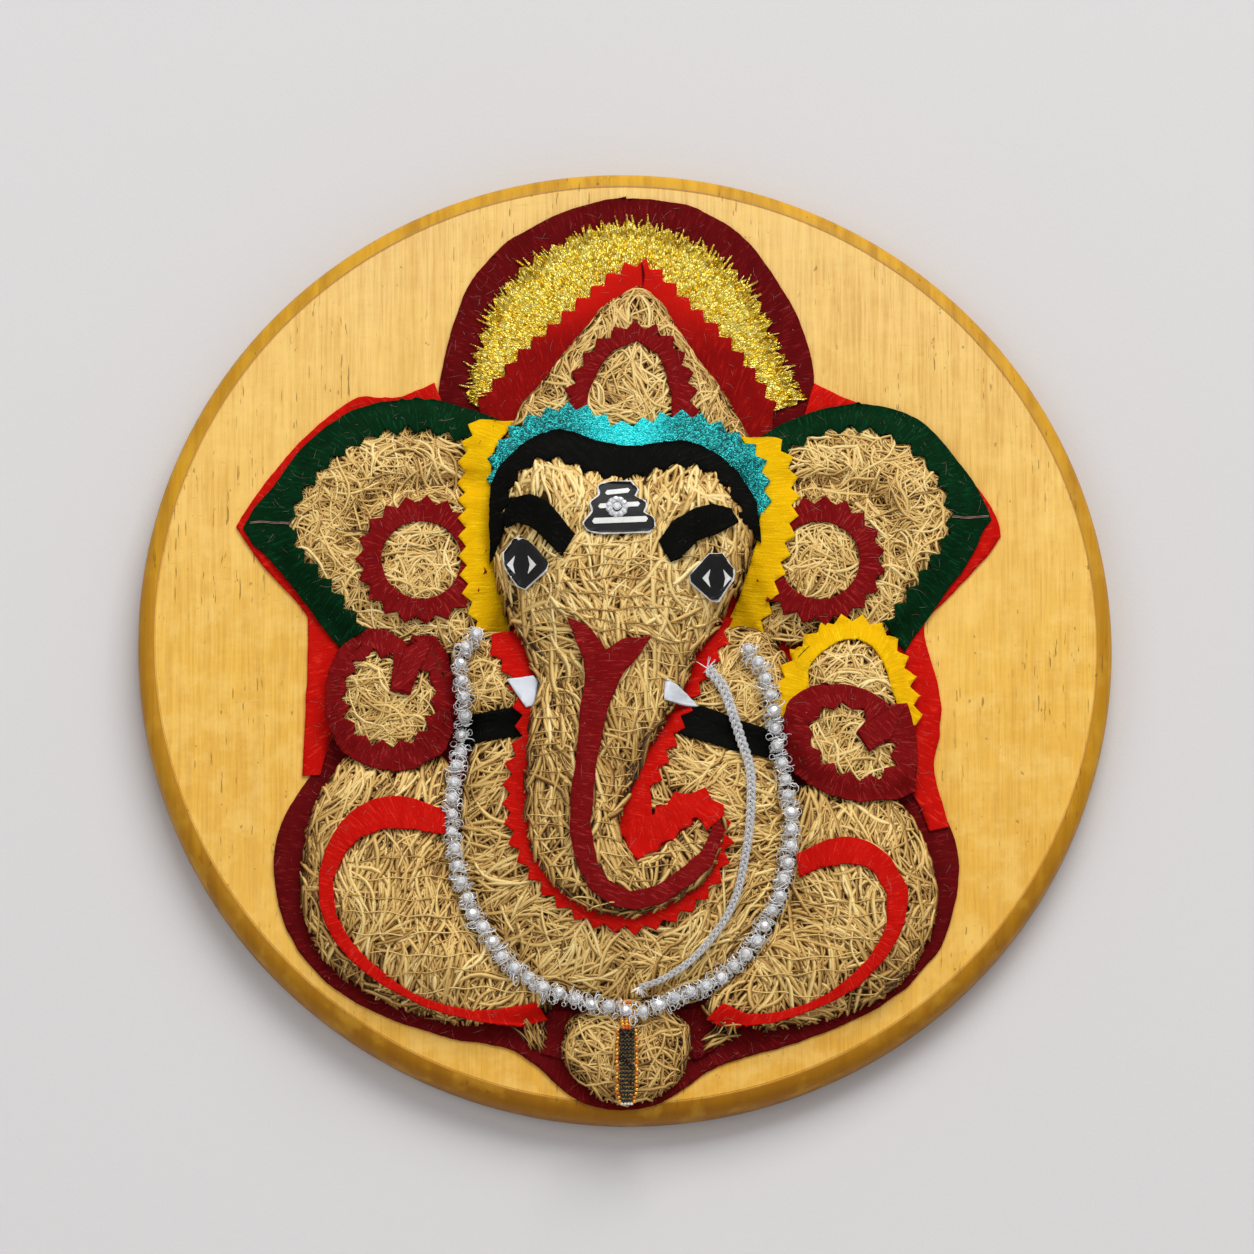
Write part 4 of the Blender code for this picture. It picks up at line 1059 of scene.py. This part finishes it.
SHEET_FINISH = {
    "backing_maroon": "maroon", "backing_red": "red", "crown_maroon": "maroon",
    "crown_gold": "gold", "crown_red": "dark_red", "crown_arch": "crimson",
    "ear_green_L": "green", "ear_green_R": "green", "ear_ring_L": "crimson",
    "ear_ring_R": "crimson", "temple_strip_L": "yellow", "temple_strip_R": "yellow",
    "headband_turquoise": "turquoise", "hair_band_black": "black", "waist_band_L": "black",
    "waist_band_R": "black", "ankle_maroon_L": "maroon", "ankle_maroon_R": "maroon",
    "leg_band_L": "red", "leg_band_R": "red", "hand_arch_yellow": "yellow",
    "hand_loop_L": "crimson", "hand_loop_R": "crimson", "trunk_border": "red",
    "tusk_L": "white", "tusk_R": "white", "trunk_stripe": "crimson", "mouth_red": "red",
    "brow_L": "black", "brow_R": "black", "eye_L": "lines", "eye_R": "lines",
    "forehead_mark": "lines",
}
SLOTS = {"maroon": "velvet_maroon", "crimson": "velvet_maroon", "red": "velvet_red",
         "dark_red": "velvet_dark_red", "green": "velvet_green", "yellow": "velvet_yellow",
         "black": "velvet_black", "gold": "glitter_gold", "turquoise": "glitter_turquoise",
         "white": "white_card", "lines": "black_sticker"}
# How finely a sheet is cut up to be draped, in metres, and how far its surface is crumpled
DRAPE_STEPS = {"gold": 0.0010, "turquoise": 0.0014, "lines": 0.0010}
USUAL_STEP, LARGE_STEP = 0.0018, 0.0036
LARGE_SHEETS = ("backing_maroon", "backing_red", "crown_maroon")
CRUMPLES = {"gold": 0.0005, "turquoise": 0.0001}
USUAL_CRUMPLE = 0.00008
# Where the creases of a strip run out from, as a picture point; elsewhere it is the strip's middle
CREASE_FROM = {"temple_strip_L": (900, 530), "temple_strip_R": (350, 530),
               "hand_arch_yellow": (848, 705), "leg_band_L": (430, 900),
               "leg_band_R": (820, 920), "ear_green_L": (420, 520), "ear_green_R": (830, 520),
               "crown_maroon": (630, 400), "crown_red": (630, 700), "trunk_stripe": (0, 700),
               "trunk_border": (0, 700), "mouth_red": (640, 760)}


def add_wrap(mesh, name):
    """Stores, for the finish, a place that changes along the strip and barely across it."""
    low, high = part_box(name)
    middle = Vector(((low.x + high.x) / 2, (low.z + high.z) / 2))
    if name in CREASE_FROM:
        middle = at(*CREASE_FROM[name])
    values, reaches = [], [max((vert.co.xz - middle).length, 0.001) for vert in mesh.vertices]
    usual = sum(reaches) / len(reaches)
    for vert, reach in zip(mesh.vertices, reaches):
        out = (vert.co.xz - middle) / reach * (usual + WRAP_SQUEEZE * (reach - usual))
        values += [out.x, 0.0, out.y]
    mesh.attributes.new("wrap", "FLOAT_VECTOR", "POINT").data.foreach_set("vector", values)


# A cut that fills less of its box than this is sized as the strip that it unrolls to
STRIP_SHARE = 0.34
LEAST_SIDE = 0.0102


def declare_sheet(area, edge, width, length):
    if area < STRIP_SHARE * width * length:
        length = edge / 2
        width = area / length
    width, length = sorted((max(width, LEAST_SIDE), max(length, LEAST_SIDE)))
    area = min(area, width * length)


def make_sheet(layer):
    """A cut sheet: its outline a little uneven, draped on what it covers."""
    name, finish = layer.name, SHEET_FINISH[layer.name]
    seed = LAYERS.index(name) * 3.1
    low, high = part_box(name)
    loops = sorted((rounded(loop) for loop in outlines_of(name)), key=span_of, reverse=True)
    shape = flat_shape(loops)
    refine(shape, LARGE_STEP if name in LARGE_SHEETS else DRAPE_STEPS.get(finish, USUAL_STEP))
    loose = 0.0003 if finish != "lines" else 0.0
    for vert in shape.verts:
        spot = vert.co.copy()
        vert.co += wobble(spot, loose, 0.006, seed)
        if vert.is_boundary:
            vert.co += wobble(spot, loose * 0.4, 0.0011, seed)
    grid = full_grid(layer)
    crumple = CRUMPLES.get(finish, USUAL_CRUMPLE)
    for vert in shape.verts:
        height = float(sample(grid, vert.co.x, vert.co.z))
        fine = noise.noise(Vector((vert.co.x, seed, vert.co.z)) / 0.0016)
        vert.co.y = -(height + crumple * fine)
    area = sum(face.calc_area() for face in shape.faces)
    rim = sum(edge.calc_length() for edge in shape.edges if edge.is_boundary)
    piece = new_piece(name + "_cut", shape, finish)
    for face in piece.data.polygons:
        face.use_smooth = finish != "gold"
    add_wrap(piece.data, name)
    thicken(piece, SHEET * 0.9)
    keep(piece, SLOTS[finish], name)
    declare_sheet(area, rim, high.x - low.x, high.z - low.z)
    return piece


def span_of(loop):
    return max(p.x for p in loop) - min(p.x for p in loop)


def new_piece(name, shape, finish):
    """Turns a draped shape into a piece that faces the front."""
    shape.normal_update()
    if sum(face.normal.y * face.calc_area() for face in shape.faces) > 0:
        bmesh.ops.reverse_faces(shape, faces=shape.faces[:])
    mesh = bpy.data.meshes.new(name)
    shape.to_mesh(mesh)
    shape.free()
    mesh.materials.append(FINISHES[finish])
    return link(name, mesh)


def thicken(piece, thickness):
    """Gives a cut its thickness, towards what it lies on."""
    solid = piece.modifiers.new("thickness", "SOLIDIFY")
    solid.thickness, solid.offset = thickness, -1.0


def patch_on(name, points, finish, slot, rise, thickness=0.0003, step=0.0010):
    """A small flat cut that lies clear of the finished relief, given as an (x, z) outline."""
    shape = flat_shape([points])
    refine(shape, step)
    for vert in shape.verts:
        x, z = vert.co.x, vert.co.z
        height = float(sample(TOP, x, z))
        slope = max(abs(float(sample(TOP, x + dx, z + dz)) - height) / CELL
                    for dx, dz in ((CELL, 0), (-CELL, 0), (0, CELL), (0, -CELL)))
        vert.co.y = -(height + rise * math.hypot(1.0, min(slope, 3.0)))
    piece = new_piece(name, shape, finish)
    add_wrap(piece.data, "forehead_mark")
    thicken(piece, thickness)
    return keep(piece, slot)


EYES = {
    "eye_L": ((514, 539), (528, 540), (549, 562), (547, 570), (525, 591), (516, 588), (504, 571),
              (502, 556)),
    "eye_R": ((709, 552), (723, 552), (735, 570), (734, 579), (719, 602), (711, 602), (690, 582),
              (689, 574)),
}
MARK = ((603, 482), (631, 482), (639, 489), (636, 495), (646, 499), (648, 505), (645, 511),
        (654, 516), (656, 524), (650, 532), (600, 534), (587, 531), (582, 523), (591, 511),
        (589, 502), (598, 494), (597, 487))


SLIT = ((641, 259), (643, 263), (645, 273), (643, 286), (642, 272))


def inset(points, distance):
    """A closed outline, moved in by a distance."""
    turn = sum(a.cross(b) for a, b in zip(points, points[1:] + points[:1]))
    sign = 1.0 if turn > 0 else -1.0
    out = []
    for before, spot, after in zip(points[-1:] + points[:-1], points, points[1:] + points[:1]):
        way = ((spot - before).normalized() + (after - spot).normalized()).normalized()
        out.append(spot + Vector((-way.y, way.x)) * sign * distance)
    return out


def make_eye(name, middle):
    """A black sticker with a white edge, and two white glints beside an upright iris."""
    outline = inset(rounded([on_top(px, py) for px, py in EYES[name]]), 0.00042)
    patch_on(name + "_black", outline, "sticker", "black_sticker", 0.0003)
    for side, word in ((-1, "left"), (1, "right")):
        tip = on_top(middle[0] + side * 14.5, middle[1])
        top, low = (on_top(middle[0] + side * 6.5, middle[1] + k * 9) for k in (-1, 1))
        inner = on_top(middle[0] + side * 8.5, middle[1])
        patch_on(f"{name}_glint_{word}", [tip, low, inner, top], "lines", "black_sticker", 0.00055)


def make_mark():
    """The black face of the forehead mark, with three white bars."""
    outline = inset(rounded([on_top(px, py) for px, py in MARK], 0.0008, 1.2), 0.0006)
    patch_on("forehead_black", outline, "sticker", "black_sticker", 0.0003)
    for k, (left, right, y, tall) in enumerate(((605, 630, 491.5, 5), (598, 640, 505, 5),
                                                (592, 648, 520, 6))):
        tilted = ((left, y + 1.6), (left + 2, y + 1.4 - tall / 2), (right - 2, y - 1 - tall / 2),
                  (right, y - 1.6), (right - 2, y + tall / 2 - 1.4), (left + 2, y + tall / 2 + 1))
        patch_on(f"forehead_bar_{k + 1}", [on_top(px, py) for px, py in tilted], "lines",
                 "black_sticker", 0.00055)


def make_crown_slit():
    """The slit at the top of the red band of the crown."""
    outline = [on_top(px, py) for px, py in SLIT]
    patch_on("crown_slit", outline, "maroon", "velvet_dark_red", 0.0002)


FRONT = Vector((0, -1, 0))


def square_to(way, hint):
    """Two directions that are square to a way and to each other."""
    side = way.cross(Vector(hint)).normalized()
    return side, way.cross(side)


def stone_points(centre, radius, front, turn):
    """A cut stone: a table, a girdle and a point behind."""
    front = front.normalized()
    side, up = square_to(front, (0.3, 0.2, 1.0))
    points = []
    for share, height, count, shift in ((0.55, 0.62, 8, 0.0), (1.0, 0.12, 8, 0.5)):
        for k in range(count):
            angle = math.tau * (k + shift) / count + turn
            points.append(centre + front * radius * height
                          + (side * math.cos(angle) + up * math.sin(angle)) * radius * share)
    points.append(centre - front * radius * 0.55)
    faces = [tuple(range(7, -1, -1))]
    for k in range(8):
        n = (k + 1) % 8
        faces += [(k, n, 8 + k), (n, 8 + n, 8 + k), (8 + k, 8 + n, 16)]
    return points, faces


def wire_loop(centre, axis, radius, wire, turn, count=9, sides=4):
    """A small closed ring of wire."""
    axis = axis.normalized()
    side, up = square_to(axis, (0.1, 1.0, 0.3))
    points, faces = [], []
    for k in range(count):
        angle = math.tau * k / count + turn
        out = side * math.cos(angle) + up * math.sin(angle)
        for m in range(sides):
            around = math.tau * m / sides
            points.append(centre + out * (radius + wire * math.cos(around))
                          + axis * wire * math.sin(around))
        a, b = k * sides, (k + 1) % count * sides
        faces += [(a + m, a + (m + 1) % sides, b + (m + 1) % sides, b + m) for m in range(sides)]
    return points, faces


def assemble(name, parts, finishes, slot, node, smooth=False):
    """Joins lists of (points, faces, finish index) into a piece that replaces a node."""
    points, faces, marks = [], [], []
    for some, its, mark in parts:
        start = len(points)
        points += some
        faces += [tuple(v + start for v in face) for face in its]
        marks += [mark] * len(its)
    mesh = bpy.data.meshes.new(name)
    mesh.from_pydata([tuple(p) for p in points], [], faces)
    for finish in finishes:
        mesh.materials.append(FINISHES[finish])
    mesh.polygons.foreach_set("material_index", marks)
    for face in mesh.polygons:
        face.use_smooth = smooth
    return keep(link(name, mesh), slot, node)


GARLAND = ((476, 637), (460, 664), (464, 698), (462, 738), (455, 784), (453, 811), (454, 845),
           (459, 876), (470, 909), (491, 943), (516, 971), (546, 992), (583, 1004), (620, 1009),
           (643, 1010), (677, 998), (710, 983), (741, 958), (762, 928), (778, 897), (785, 869),
           (790, 839), (790, 808), (782, 771), (775, 735), (771, 695), (759, 667), (744, 644))
GOLD_EDGE = ((468, 403), (476, 358), (497, 299), (535, 258), (582, 233), (626, 222), (664, 228),
             (708, 249), (752, 289), (778, 346), (801, 400))
BRAID = ((707, 669), (722, 686), (732, 713), (741, 741), (750, 771), (750, 814), (745, 854),
         (735, 897), (716, 931), (689, 961), (661, 979), (638, 987))


def laid_line(pairs, pitch, lift, ease=3):
    """A route along the finished relief, lifted clear of it and eased over its steps."""
    plan = even_path(smooth_path([on_top(px, py) for px, py in pairs], 0.0015), pitch)
    heights = [max(float(sample(TOP, p.x + dx, p.y + dz)) for dx in (-0.0015, 0, 0.0015)
                   for dz in (-0.0015, 0, 0.0015)) for p in plan]
    for _ in range(ease):
        heights = [max(h, sum(heights[max(i - 1, 0):i + 2]) / len(heights[max(i - 1, 0):i + 2]))
                   for i, h in enumerate(heights)]
    return [Vector((p.x, -(h + lift), p.y)) for p, h in zip(plan, heights)]


def direction(line, i):
    """The way along a line at one of its points, and the way across it, seen from the front."""
    way = (line[min(i + 1, len(line) - 1)] - line[max(i - 1, 0)]).normalized()
    return way, way.cross(FRONT).normalized()


STONE_PITCH = 0.00265
GARLAND_LIFT = 0.0019
# The two wire rings of a setting: their lift, size against the stone, wire radius and sides
SETTING_RINGS = ((0.0006, 1.12, 0.00026, 4), (-0.0002, 1.32, 0.00020, 3))


def make_garland():
    """A chain of clear stones: each sits in a clawed setting, with wire loops all around it."""
    line = laid_line(GARLAND, STONE_PITCH, GARLAND_LIFT)
    parts = []
    for i, spot in enumerate(line):
        way, across = direction(line, i)
        if i % 2 == 0:
            lean = FRONT + Vector((rng.normal(0, 0.18), 0, rng.normal(0, 0.18)))
            size = STONE_SIZE * rng.uniform(0.92, 1.1)
            middle = spot + across * rng.normal(0, 0.00025)
            parts.append((*stone_points(middle + FRONT * 0.0009, size, lean, rng.uniform(0, 1)), 0))
            for lift, wide, wire, sides in SETTING_RINGS:
                parts.append((*wire_loop(middle + FRONT * lift, lean, size * wide, wire, 0.0, 10,
                                         sides), 1))
            for k in range(8):
                angle = math.tau * (k + 0.5) / 8 + rng.normal(0, 0.12)
                out = way * math.cos(angle) + across * math.sin(angle)
                start = middle + out * size * 1.05 + FRONT * 0.0002
                end = middle + out * size * rng.uniform(1.5, 2.0)
                end += FRONT * rng.uniform(-0.0002, 0.0010)
                parts.append((*spike(start, end, 0.00021), 1))
        else:
            for _ in range(5):
                lean = way + across * rng.normal(0, 0.5) + FRONT * rng.normal(0, 0.5)
                centre = spot + across * rng.normal(0, 0.0012) + way * rng.normal(0, 0.0008)
                size, wire = rng.uniform(0.0012, 0.0023), rng.uniform(0.00015, 0.00022)
                parts.append((*wire_loop(centre, lean, size, wire, rng.uniform(0, 1), 9, 3), 1))
        for side in (-1, 1):
            centre = spot + across * side * rng.uniform(0.0014, 0.0026)
            centre += way * rng.normal(0, 0.0006)
            lean = FRONT + across * side * rng.uniform(0.2, 0.9) + way * rng.normal(0, 0.4)
            parts.append((*wire_loop(centre, lean, rng.uniform(0.0006, 0.0012), 0.00015,
                                     rng.uniform(0, 1), 8, 3), 1))
    return assemble("garland_stones", parts, ("stone", "silver"), "rhinestone_silver", "garland")


def spike(start, end, radius):
    side, up = square_to((end - start).normalized(), (0.2, 0.4, 1.0))
    points = [base + (side * math.cos(a) + up * math.sin(a)) * radius * size
              for base, size in ((start, 1.0), (end, 0.45))
              for a in (0.0, math.tau / 3, math.tau * 2 / 3)]
    faces = [(0, 1, 4, 3), (1, 2, 5, 4), (2, 0, 3, 5), (2, 1, 0), (3, 4, 5)]
    return points, faces


BRAID_TAPER = 0.45
BRAID_STEP = 0.0006
BRAID_TURN = 0.0062
STRAND_SWING = 0.00112
STRAND_RADIUS = 0.00048
WIRE_RADIUS = 0.00027


def make_braid():
    """Three strands, each of a few fine metal wires, plaited flat."""
    line = laid_line(BRAID, BRAID_STEP, 0.0013, 6)
    parts = []
    for strand in range(3):
        for wire in range(4):
            points = []
            for i, spot in enumerate(line):
                across = direction(line, i)[1] * (1.0 - BRAID_TAPER * i / len(line))
                swing = math.tau * (i * BRAID_STEP / BRAID_TURN + strand / 3)
                centre = spot + across * STRAND_SWING * math.sin(swing)
                centre += FRONT * 0.0007 * math.sin(2 * swing)
                spin = math.tau * wire / 4 + i * 0.45
                centre += (across * math.cos(spin) + FRONT * math.sin(spin)) * STRAND_RADIUS
                for m in range(4):
                    around = math.tau * m / 4
                    out = across * math.cos(around) + FRONT * math.sin(around)
                    points.append(centre + out * WIRE_RADIUS)
            faces = [(4 * i + m, 4 * i + (m + 1) % 4, 4 * i + 4 + (m + 1) % 4, 4 * i + 4 + m)
                     for i in range(len(line) - 1) for m in range(4)]
            faces += [(3, 2, 1, 0), tuple(range(len(points) - 4, len(points)))]
            parts.append((points, faces, 0))
    for end, sign in ((line[0], 1), (line[-1], -1)):
        for _ in range(12):
            aim = Vector((rng.normal(0, 0.8), -rng.uniform(0.1, 0.5), sign * rng.uniform(0.4, 1.0)))
            tip = end + aim.normalized() * rng.uniform(0.002, 0.004)
            parts.append((*spike(end, tip, 0.0002), 0))
    return assemble("silver_plait", parts, ("thread",), "silver_braid", "braid")


def bead_points(centre, radius, tall, rings=5, sides=8):
    points, faces = [centre + Vector((0, 0, tall))], []
    for a in range(1, rings):
        angle = math.pi * a / rings
        for m in range(sides):
            around = math.tau * m / sides
            points.append(centre + Vector((radius * math.sin(angle) * math.cos(around),
                                           radius * math.sin(angle) * math.sin(around),
                                           tall * math.cos(angle))))
    points.append(centre - Vector((0, 0, tall)))
    for m in range(sides):
        n = (m + 1) % sides
        faces.append((0, 1 + m, 1 + n))
        for a in range(rings - 2):
            one, two = 1 + a * sides, 1 + (a + 1) * sides
            faces.append((one + m, two + m, two + n, one + n))
        last = 1 + (rings - 2) * sides
        faces.append((last + n, last + m, len(points) - 1))
    return points, faces


BEADS = ("black_bead", "gold_bead", "orange_bead", "lines")
BEAD_RADIUS = 0.00064
CAP_BEAD_RADIUS = 0.00080
# The pendant's middle, the top of its columns, and the pitch of its beads, in picture points
PENDANT_X, PENDANT_TOP = 626.4, 1030
BEAD_PITCH, BEAD_ROW = 3.7, 3.9


def make_pendant():
    """Columns of black seed beads between gold and orange borders, with a gold cap."""
    parts = []
    marks = {name: k for k, name in enumerate(BEADS)}
    for row in range(19):
        y = PENDANT_TOP + row * BEAD_ROW
        drop = 1.0 if row < 17 else 0.7
        for column in range(4):
            x = PENDANT_X + (column - 1.5) * BEAD_PITCH * drop
            add_bead(parts, x + rng.normal(0, 0.15), y, BEAD_RADIUS, marks["black_bead"])
        for side in (-1, 1):
            bulge = 9.0 + 0.9 * math.sin(math.pi * row / 18) - (1.8 if row > 16 else 0.0)
            tone = "gold_bead" if (row + side) % 3 else "orange_bead"
            x = PENDANT_X + side * bulge + rng.normal(0, 0.3)
            add_bead(parts, x, y + 1.0, BEAD_RADIUS, marks[tone])
    for row in range(9):
        y = 1004 + row * 3.1
        wide = 2.4 + 2.2 * math.sin(math.pi * row / 9)
        for side in (-1, 0, 1):
            tone = "gold_bead" if row % 4 else "orange_bead"
            add_bead(parts, 626 + side * wide, y, CAP_BEAD_RADIUS, marks[tone])
    for k in range(4):
        add_bead(parts, 621.5 + k * 3.2, 1103.5, 0.0005, marks["lines"])
    return assemble("seed_bead_drop", parts, BEADS, "black_seed_beads", "pendant", True)


def add_bead(parts, px, py, radius, mark):
    spot = at(px, py, PENDANT_RISE)
    height = float(sample(TOP, 0.0, -0.128)) + 0.0008 + radius * 0.9
    parts.append((*bead_points(Vector((spot.x, -height, spot.y)), radius, radius * 0.82), mark))


def make_forehead_stone():
    """A flower of small clear stones around one larger stone, in a silver setting."""
    centre = on_top(617, 507)
    top = float(sample(TOP, centre.x, centre.y))
    middle = Vector((centre.x, -top - 0.0009, centre.y))
    parts = [(*stone_points(middle + FRONT * 0.0004, 0.0013, FRONT, 0.2), 0),
             (*wire_loop(middle, FRONT, 0.00175, 0.00028, 0.0, 16), 1),
             (*wire_loop(middle - FRONT * 0.0003, FRONT, 0.0029, 0.0003, 0.0, 18), 1)]
    for k in range(11):
        angle = math.tau * k / 11
        out = Vector((math.cos(angle), 0, math.sin(angle)))
        tilt = out * 0.35
        spot = middle + out * 0.0026
        parts.append((*stone_points(spot, 0.00078, FRONT + tilt, angle), 0))
        parts.append((*wire_loop(spot - FRONT * 0.0001, FRONT + tilt, 0.0008, 0.00015, 0.0, 8,
                                 3), 1))
    return assemble("forehead_flower", parts, ("stone", "silver"), "rhinestone_silver",
                    "forehead_stone")


def make_foil_fringe():
    """Ragged slivers of foil that stand out between the teeth of the gold band."""
    edge = even_path(smooth_path([on_top(px, py) for px, py in GOLD_EDGE], 0.001), 0.0009)
    middle = on_top(630, 400)
    start = np.array(edge) + rng.normal(0, 0.0004, (len(edge), 2))
    out = start - np.array(middle)
    out /= np.linalg.norm(out, axis=1, keepdims=True)
    out += rng.normal(0, 0.22, out.shape)
    reach = rng.uniform(-0.0012, 0.0022, len(edge))[:, None, None] + 0.0008
    share = np.linspace(0, 1, 4)[None, :, None]
    plan = start[:, None] - out[:, None] * 0.0030 + out[:, None] * (reach + 0.0030) * share
    height = sample(TOP, plan[..., 0], plan[..., 1]) + 0.0004 + 0.0003 * np.sin(share[..., 0] * 3)
    paths = np.stack([plan[..., 0], -height, plan[..., 1]], axis=-1)
    piece = fibre_mesh("gold_slivers", paths, rng.uniform(0.0005, 0.0011, len(edge)),
                       rng.normal(0, 0.4, len(edge)), np.zeros(len(edge)), "gold", 0.3)
    return keep(piece, "glitter_gold")


def make_lint(count=520):
    """Loose pile and dust threads on the velvet."""
    plain = [LAYERS.index(name) for name, finish in SHEET_FINISH.items()
             if finish in ("maroon", "crimson", "green", "dark_red", "red")]
    _, centre = scatter(np.isin(OWNER, plain), count)
    angle = rng.uniform(0, math.pi, count)
    bend = rng.normal(0, 160.0, count)
    length = rng.gamma(3.0, 0.0006, count) + 0.0006
    reach = length[:, None] * np.linspace(-0.5, 0.5, 5)[None]
    plan = bowed(centre, angle, reach, bend, np.zeros(count))
    height = sample(TOP, plan[..., 0], plan[..., 1]) + 0.00012
    paths = np.stack([plan[..., 0], -height, plan[..., 1]], axis=-1)
    piece = fibre_mesh("velvet_lint", paths, rng.uniform(0.00004, 0.00009, count),
                       rng.normal(0, 0.5, count), rng.random(count), "lint", 0.8)
    return keep(piece, "velvet_maroon")


TAILS = {"loop_tail_L": ((389, 693), (410, 698), (420, 671), (430, 650), (424, 640), (412, 637),
                         (405, 651), (399, 671)),
         "loop_tail_R": ((857, 729), (870, 750), (888, 738), (893, 730), (898, 718), (905, 703),
                         (888, 709))}
SEAMS = (((249, 526), (262, 525), (278, 526), (293, 528)),
         ((953, 514), (966, 515), (978, 514), (990, 513)))


def make_tails():
    """The loose end of each hand loop, lying over the loop."""
    for name, outline in TAILS.items():
        points = rounded([on_top(px, py) for px, py in outline], 0.0008)
        area = abs(sum(a.cross(b) for a, b in zip(points, points[1:] + points[:1]))) / 2
        edge = sum((a - b).length for a, b in zip(points, points[1:] + points[:1]))
        tall = max(p.y for p in points) - min(p.y for p in points)
        piece = patch_on(name, points, "crimson", "velvet_maroon", 0.0009)
        declare_sheet(area, edge, span_of(points), tall)


def make_seams():
    """The worn edge of the sheet along each ear tip, rubbed down to its pale backing."""
    paths, steps = [], 14
    for seam in SEAMS:
        for shift in (-0.7, 0.5):
            plan = smooth_path([on_top(px, py + shift) for px, py in seam], 0.001)
            plan = [plan[int(k)] for k in np.linspace(0, len(plan) - 1, steps)]
            paths.append([(p.x, -float(sample(TOP, p.x, p.y)) - 0.0002, p.y) for p in plan])
    count = len(paths)
    piece = fibre_mesh("worn_seams", np.array(paths), np.full(count, SEAM_WIDTH),
                       np.zeros(count), np.full(count, 0.5), "lint", 0.5)
    return keep(piece, "velvet_maroon")


# Stage, lights and camera


def make_stage():
    deselect()
    bpy.ops.mesh.primitive_plane_add(size=5.0, location=(0, 0.0012, 0),
                                     rotation=(math.pi / 2, 0, 0))
    wall = bpy.context.object
    wall.name = "studio_wall"
    wall.data.materials.append(studio_wall())
    bpy.ops.mesh.primitive_plane_add(size=5.0, location=(0, 0, -1.3))
    floor = bpy.context.object
    floor.name = "studio_floor"
    floor.data.materials.append(plain_gloss("studio_floor", (0.62, 0.61, 0.60),
                                            (0.66, 0.65, 0.64), 3.0, 0.85))


def soft_light(name, place, size, power, colour=(1, 1, 1)):
    data = bpy.data.lights.new(name, "AREA")
    data.shape, data.size, data.size_y = "RECTANGLE", size[0], size[1]
    data.energy, data.color = power, colour
    lamp = link(name, data)
    lamp.location = place
    lamp.rotation_euler = (-Vector(place)).to_track_quat("-Z", "Y").to_euler()


def make_lights():
    soft_light("key", (0.85, -2.5, 2.6), (3.0, 2.2), 122.0, (1.0, 0.985, 0.96))
    soft_light("fill", (-1.5, -1.9, 0.2), (1.2, 1.2), 6.0, (0.97, 0.98, 1.0))
    world = bpy.data.worlds.new("studio")
    world.use_nodes = True
    world.node_tree.nodes["Background"].inputs[0].default_value = (0.97, 0.97, 1.0, 1.0)
    world.node_tree.nodes["Background"].inputs[1].default_value = 0.40
    bpy.context.scene.world = world


def make_camera():
    """Looks up at the board from a little below it and from its left, as the photograph does."""
    data = bpy.data.cameras.new("camera")
    data.sensor_width = 36.0
    view = PICTURE * FIGURE_HEIGHT / FIGURE_SPAN
    data.lens = data.sensor_width * LOOK_DISTANCE / view
    camera = link("camera", data)
    away = Vector((-math.sin(LOOK_LEFT) * math.cos(LOOK_UP),
                   -math.cos(LOOK_LEFT) * math.cos(LOOK_UP), -math.sin(LOOK_UP)))
    turn = (-away).to_track_quat("-Z", "Y")
    pixel = FIGURE_HEIGHT / FIGURE_SPAN
    middle = PICTURE / 2
    aim = Vector((0, -BOARD_THICKNESS, 0))
    aim += turn @ Vector(((middle - CENTRE_X) * pixel, (CENTRE_Y - middle) * pixel, 0))
    camera.rotation_euler = turn.to_euler()
    camera.location = aim + away * LOOK_DISTANCE
    bpy.context.scene.camera = camera
    bpy.context.scene.view_settings.view_transform = "Standard"


def main():
    make_board()
    for name in LAYERS:
        if name in PADS:
            make_core(RELIEF[name])
            make_fibres(RELIEF[name])
        else:
            make_sheet(RELIEF[name])
    make_eye("eye_L", (521, 566))
    make_eye("eye_R", (717, 578))
    make_mark()
    make_crown_slit()
    make_tails()
    make_seams()
    make_threads("head_trunk_pad", 0.0042, at(0, 545, 0.02).y, at(0, 905, 0.02).y, 0.0)
    make_threads("leg_pad_L", 0.0058, at(0, 860, 0.01).y, at(0, 990, 0.01).y, 0.0)
    make_threads("leg_pad_R", 0.0058, at(0, 870, 0.01).y, at(0, 990, 0.01).y, 0.0)
    make_root_tufts()
    make_forehead_stone()
    make_garland()
    make_braid()
    make_pendant()
    make_foil_fringe()
    make_lint()
    make_stage()
    make_lights()
    make_camera()
    bpy.context.view_layer.update()


main()
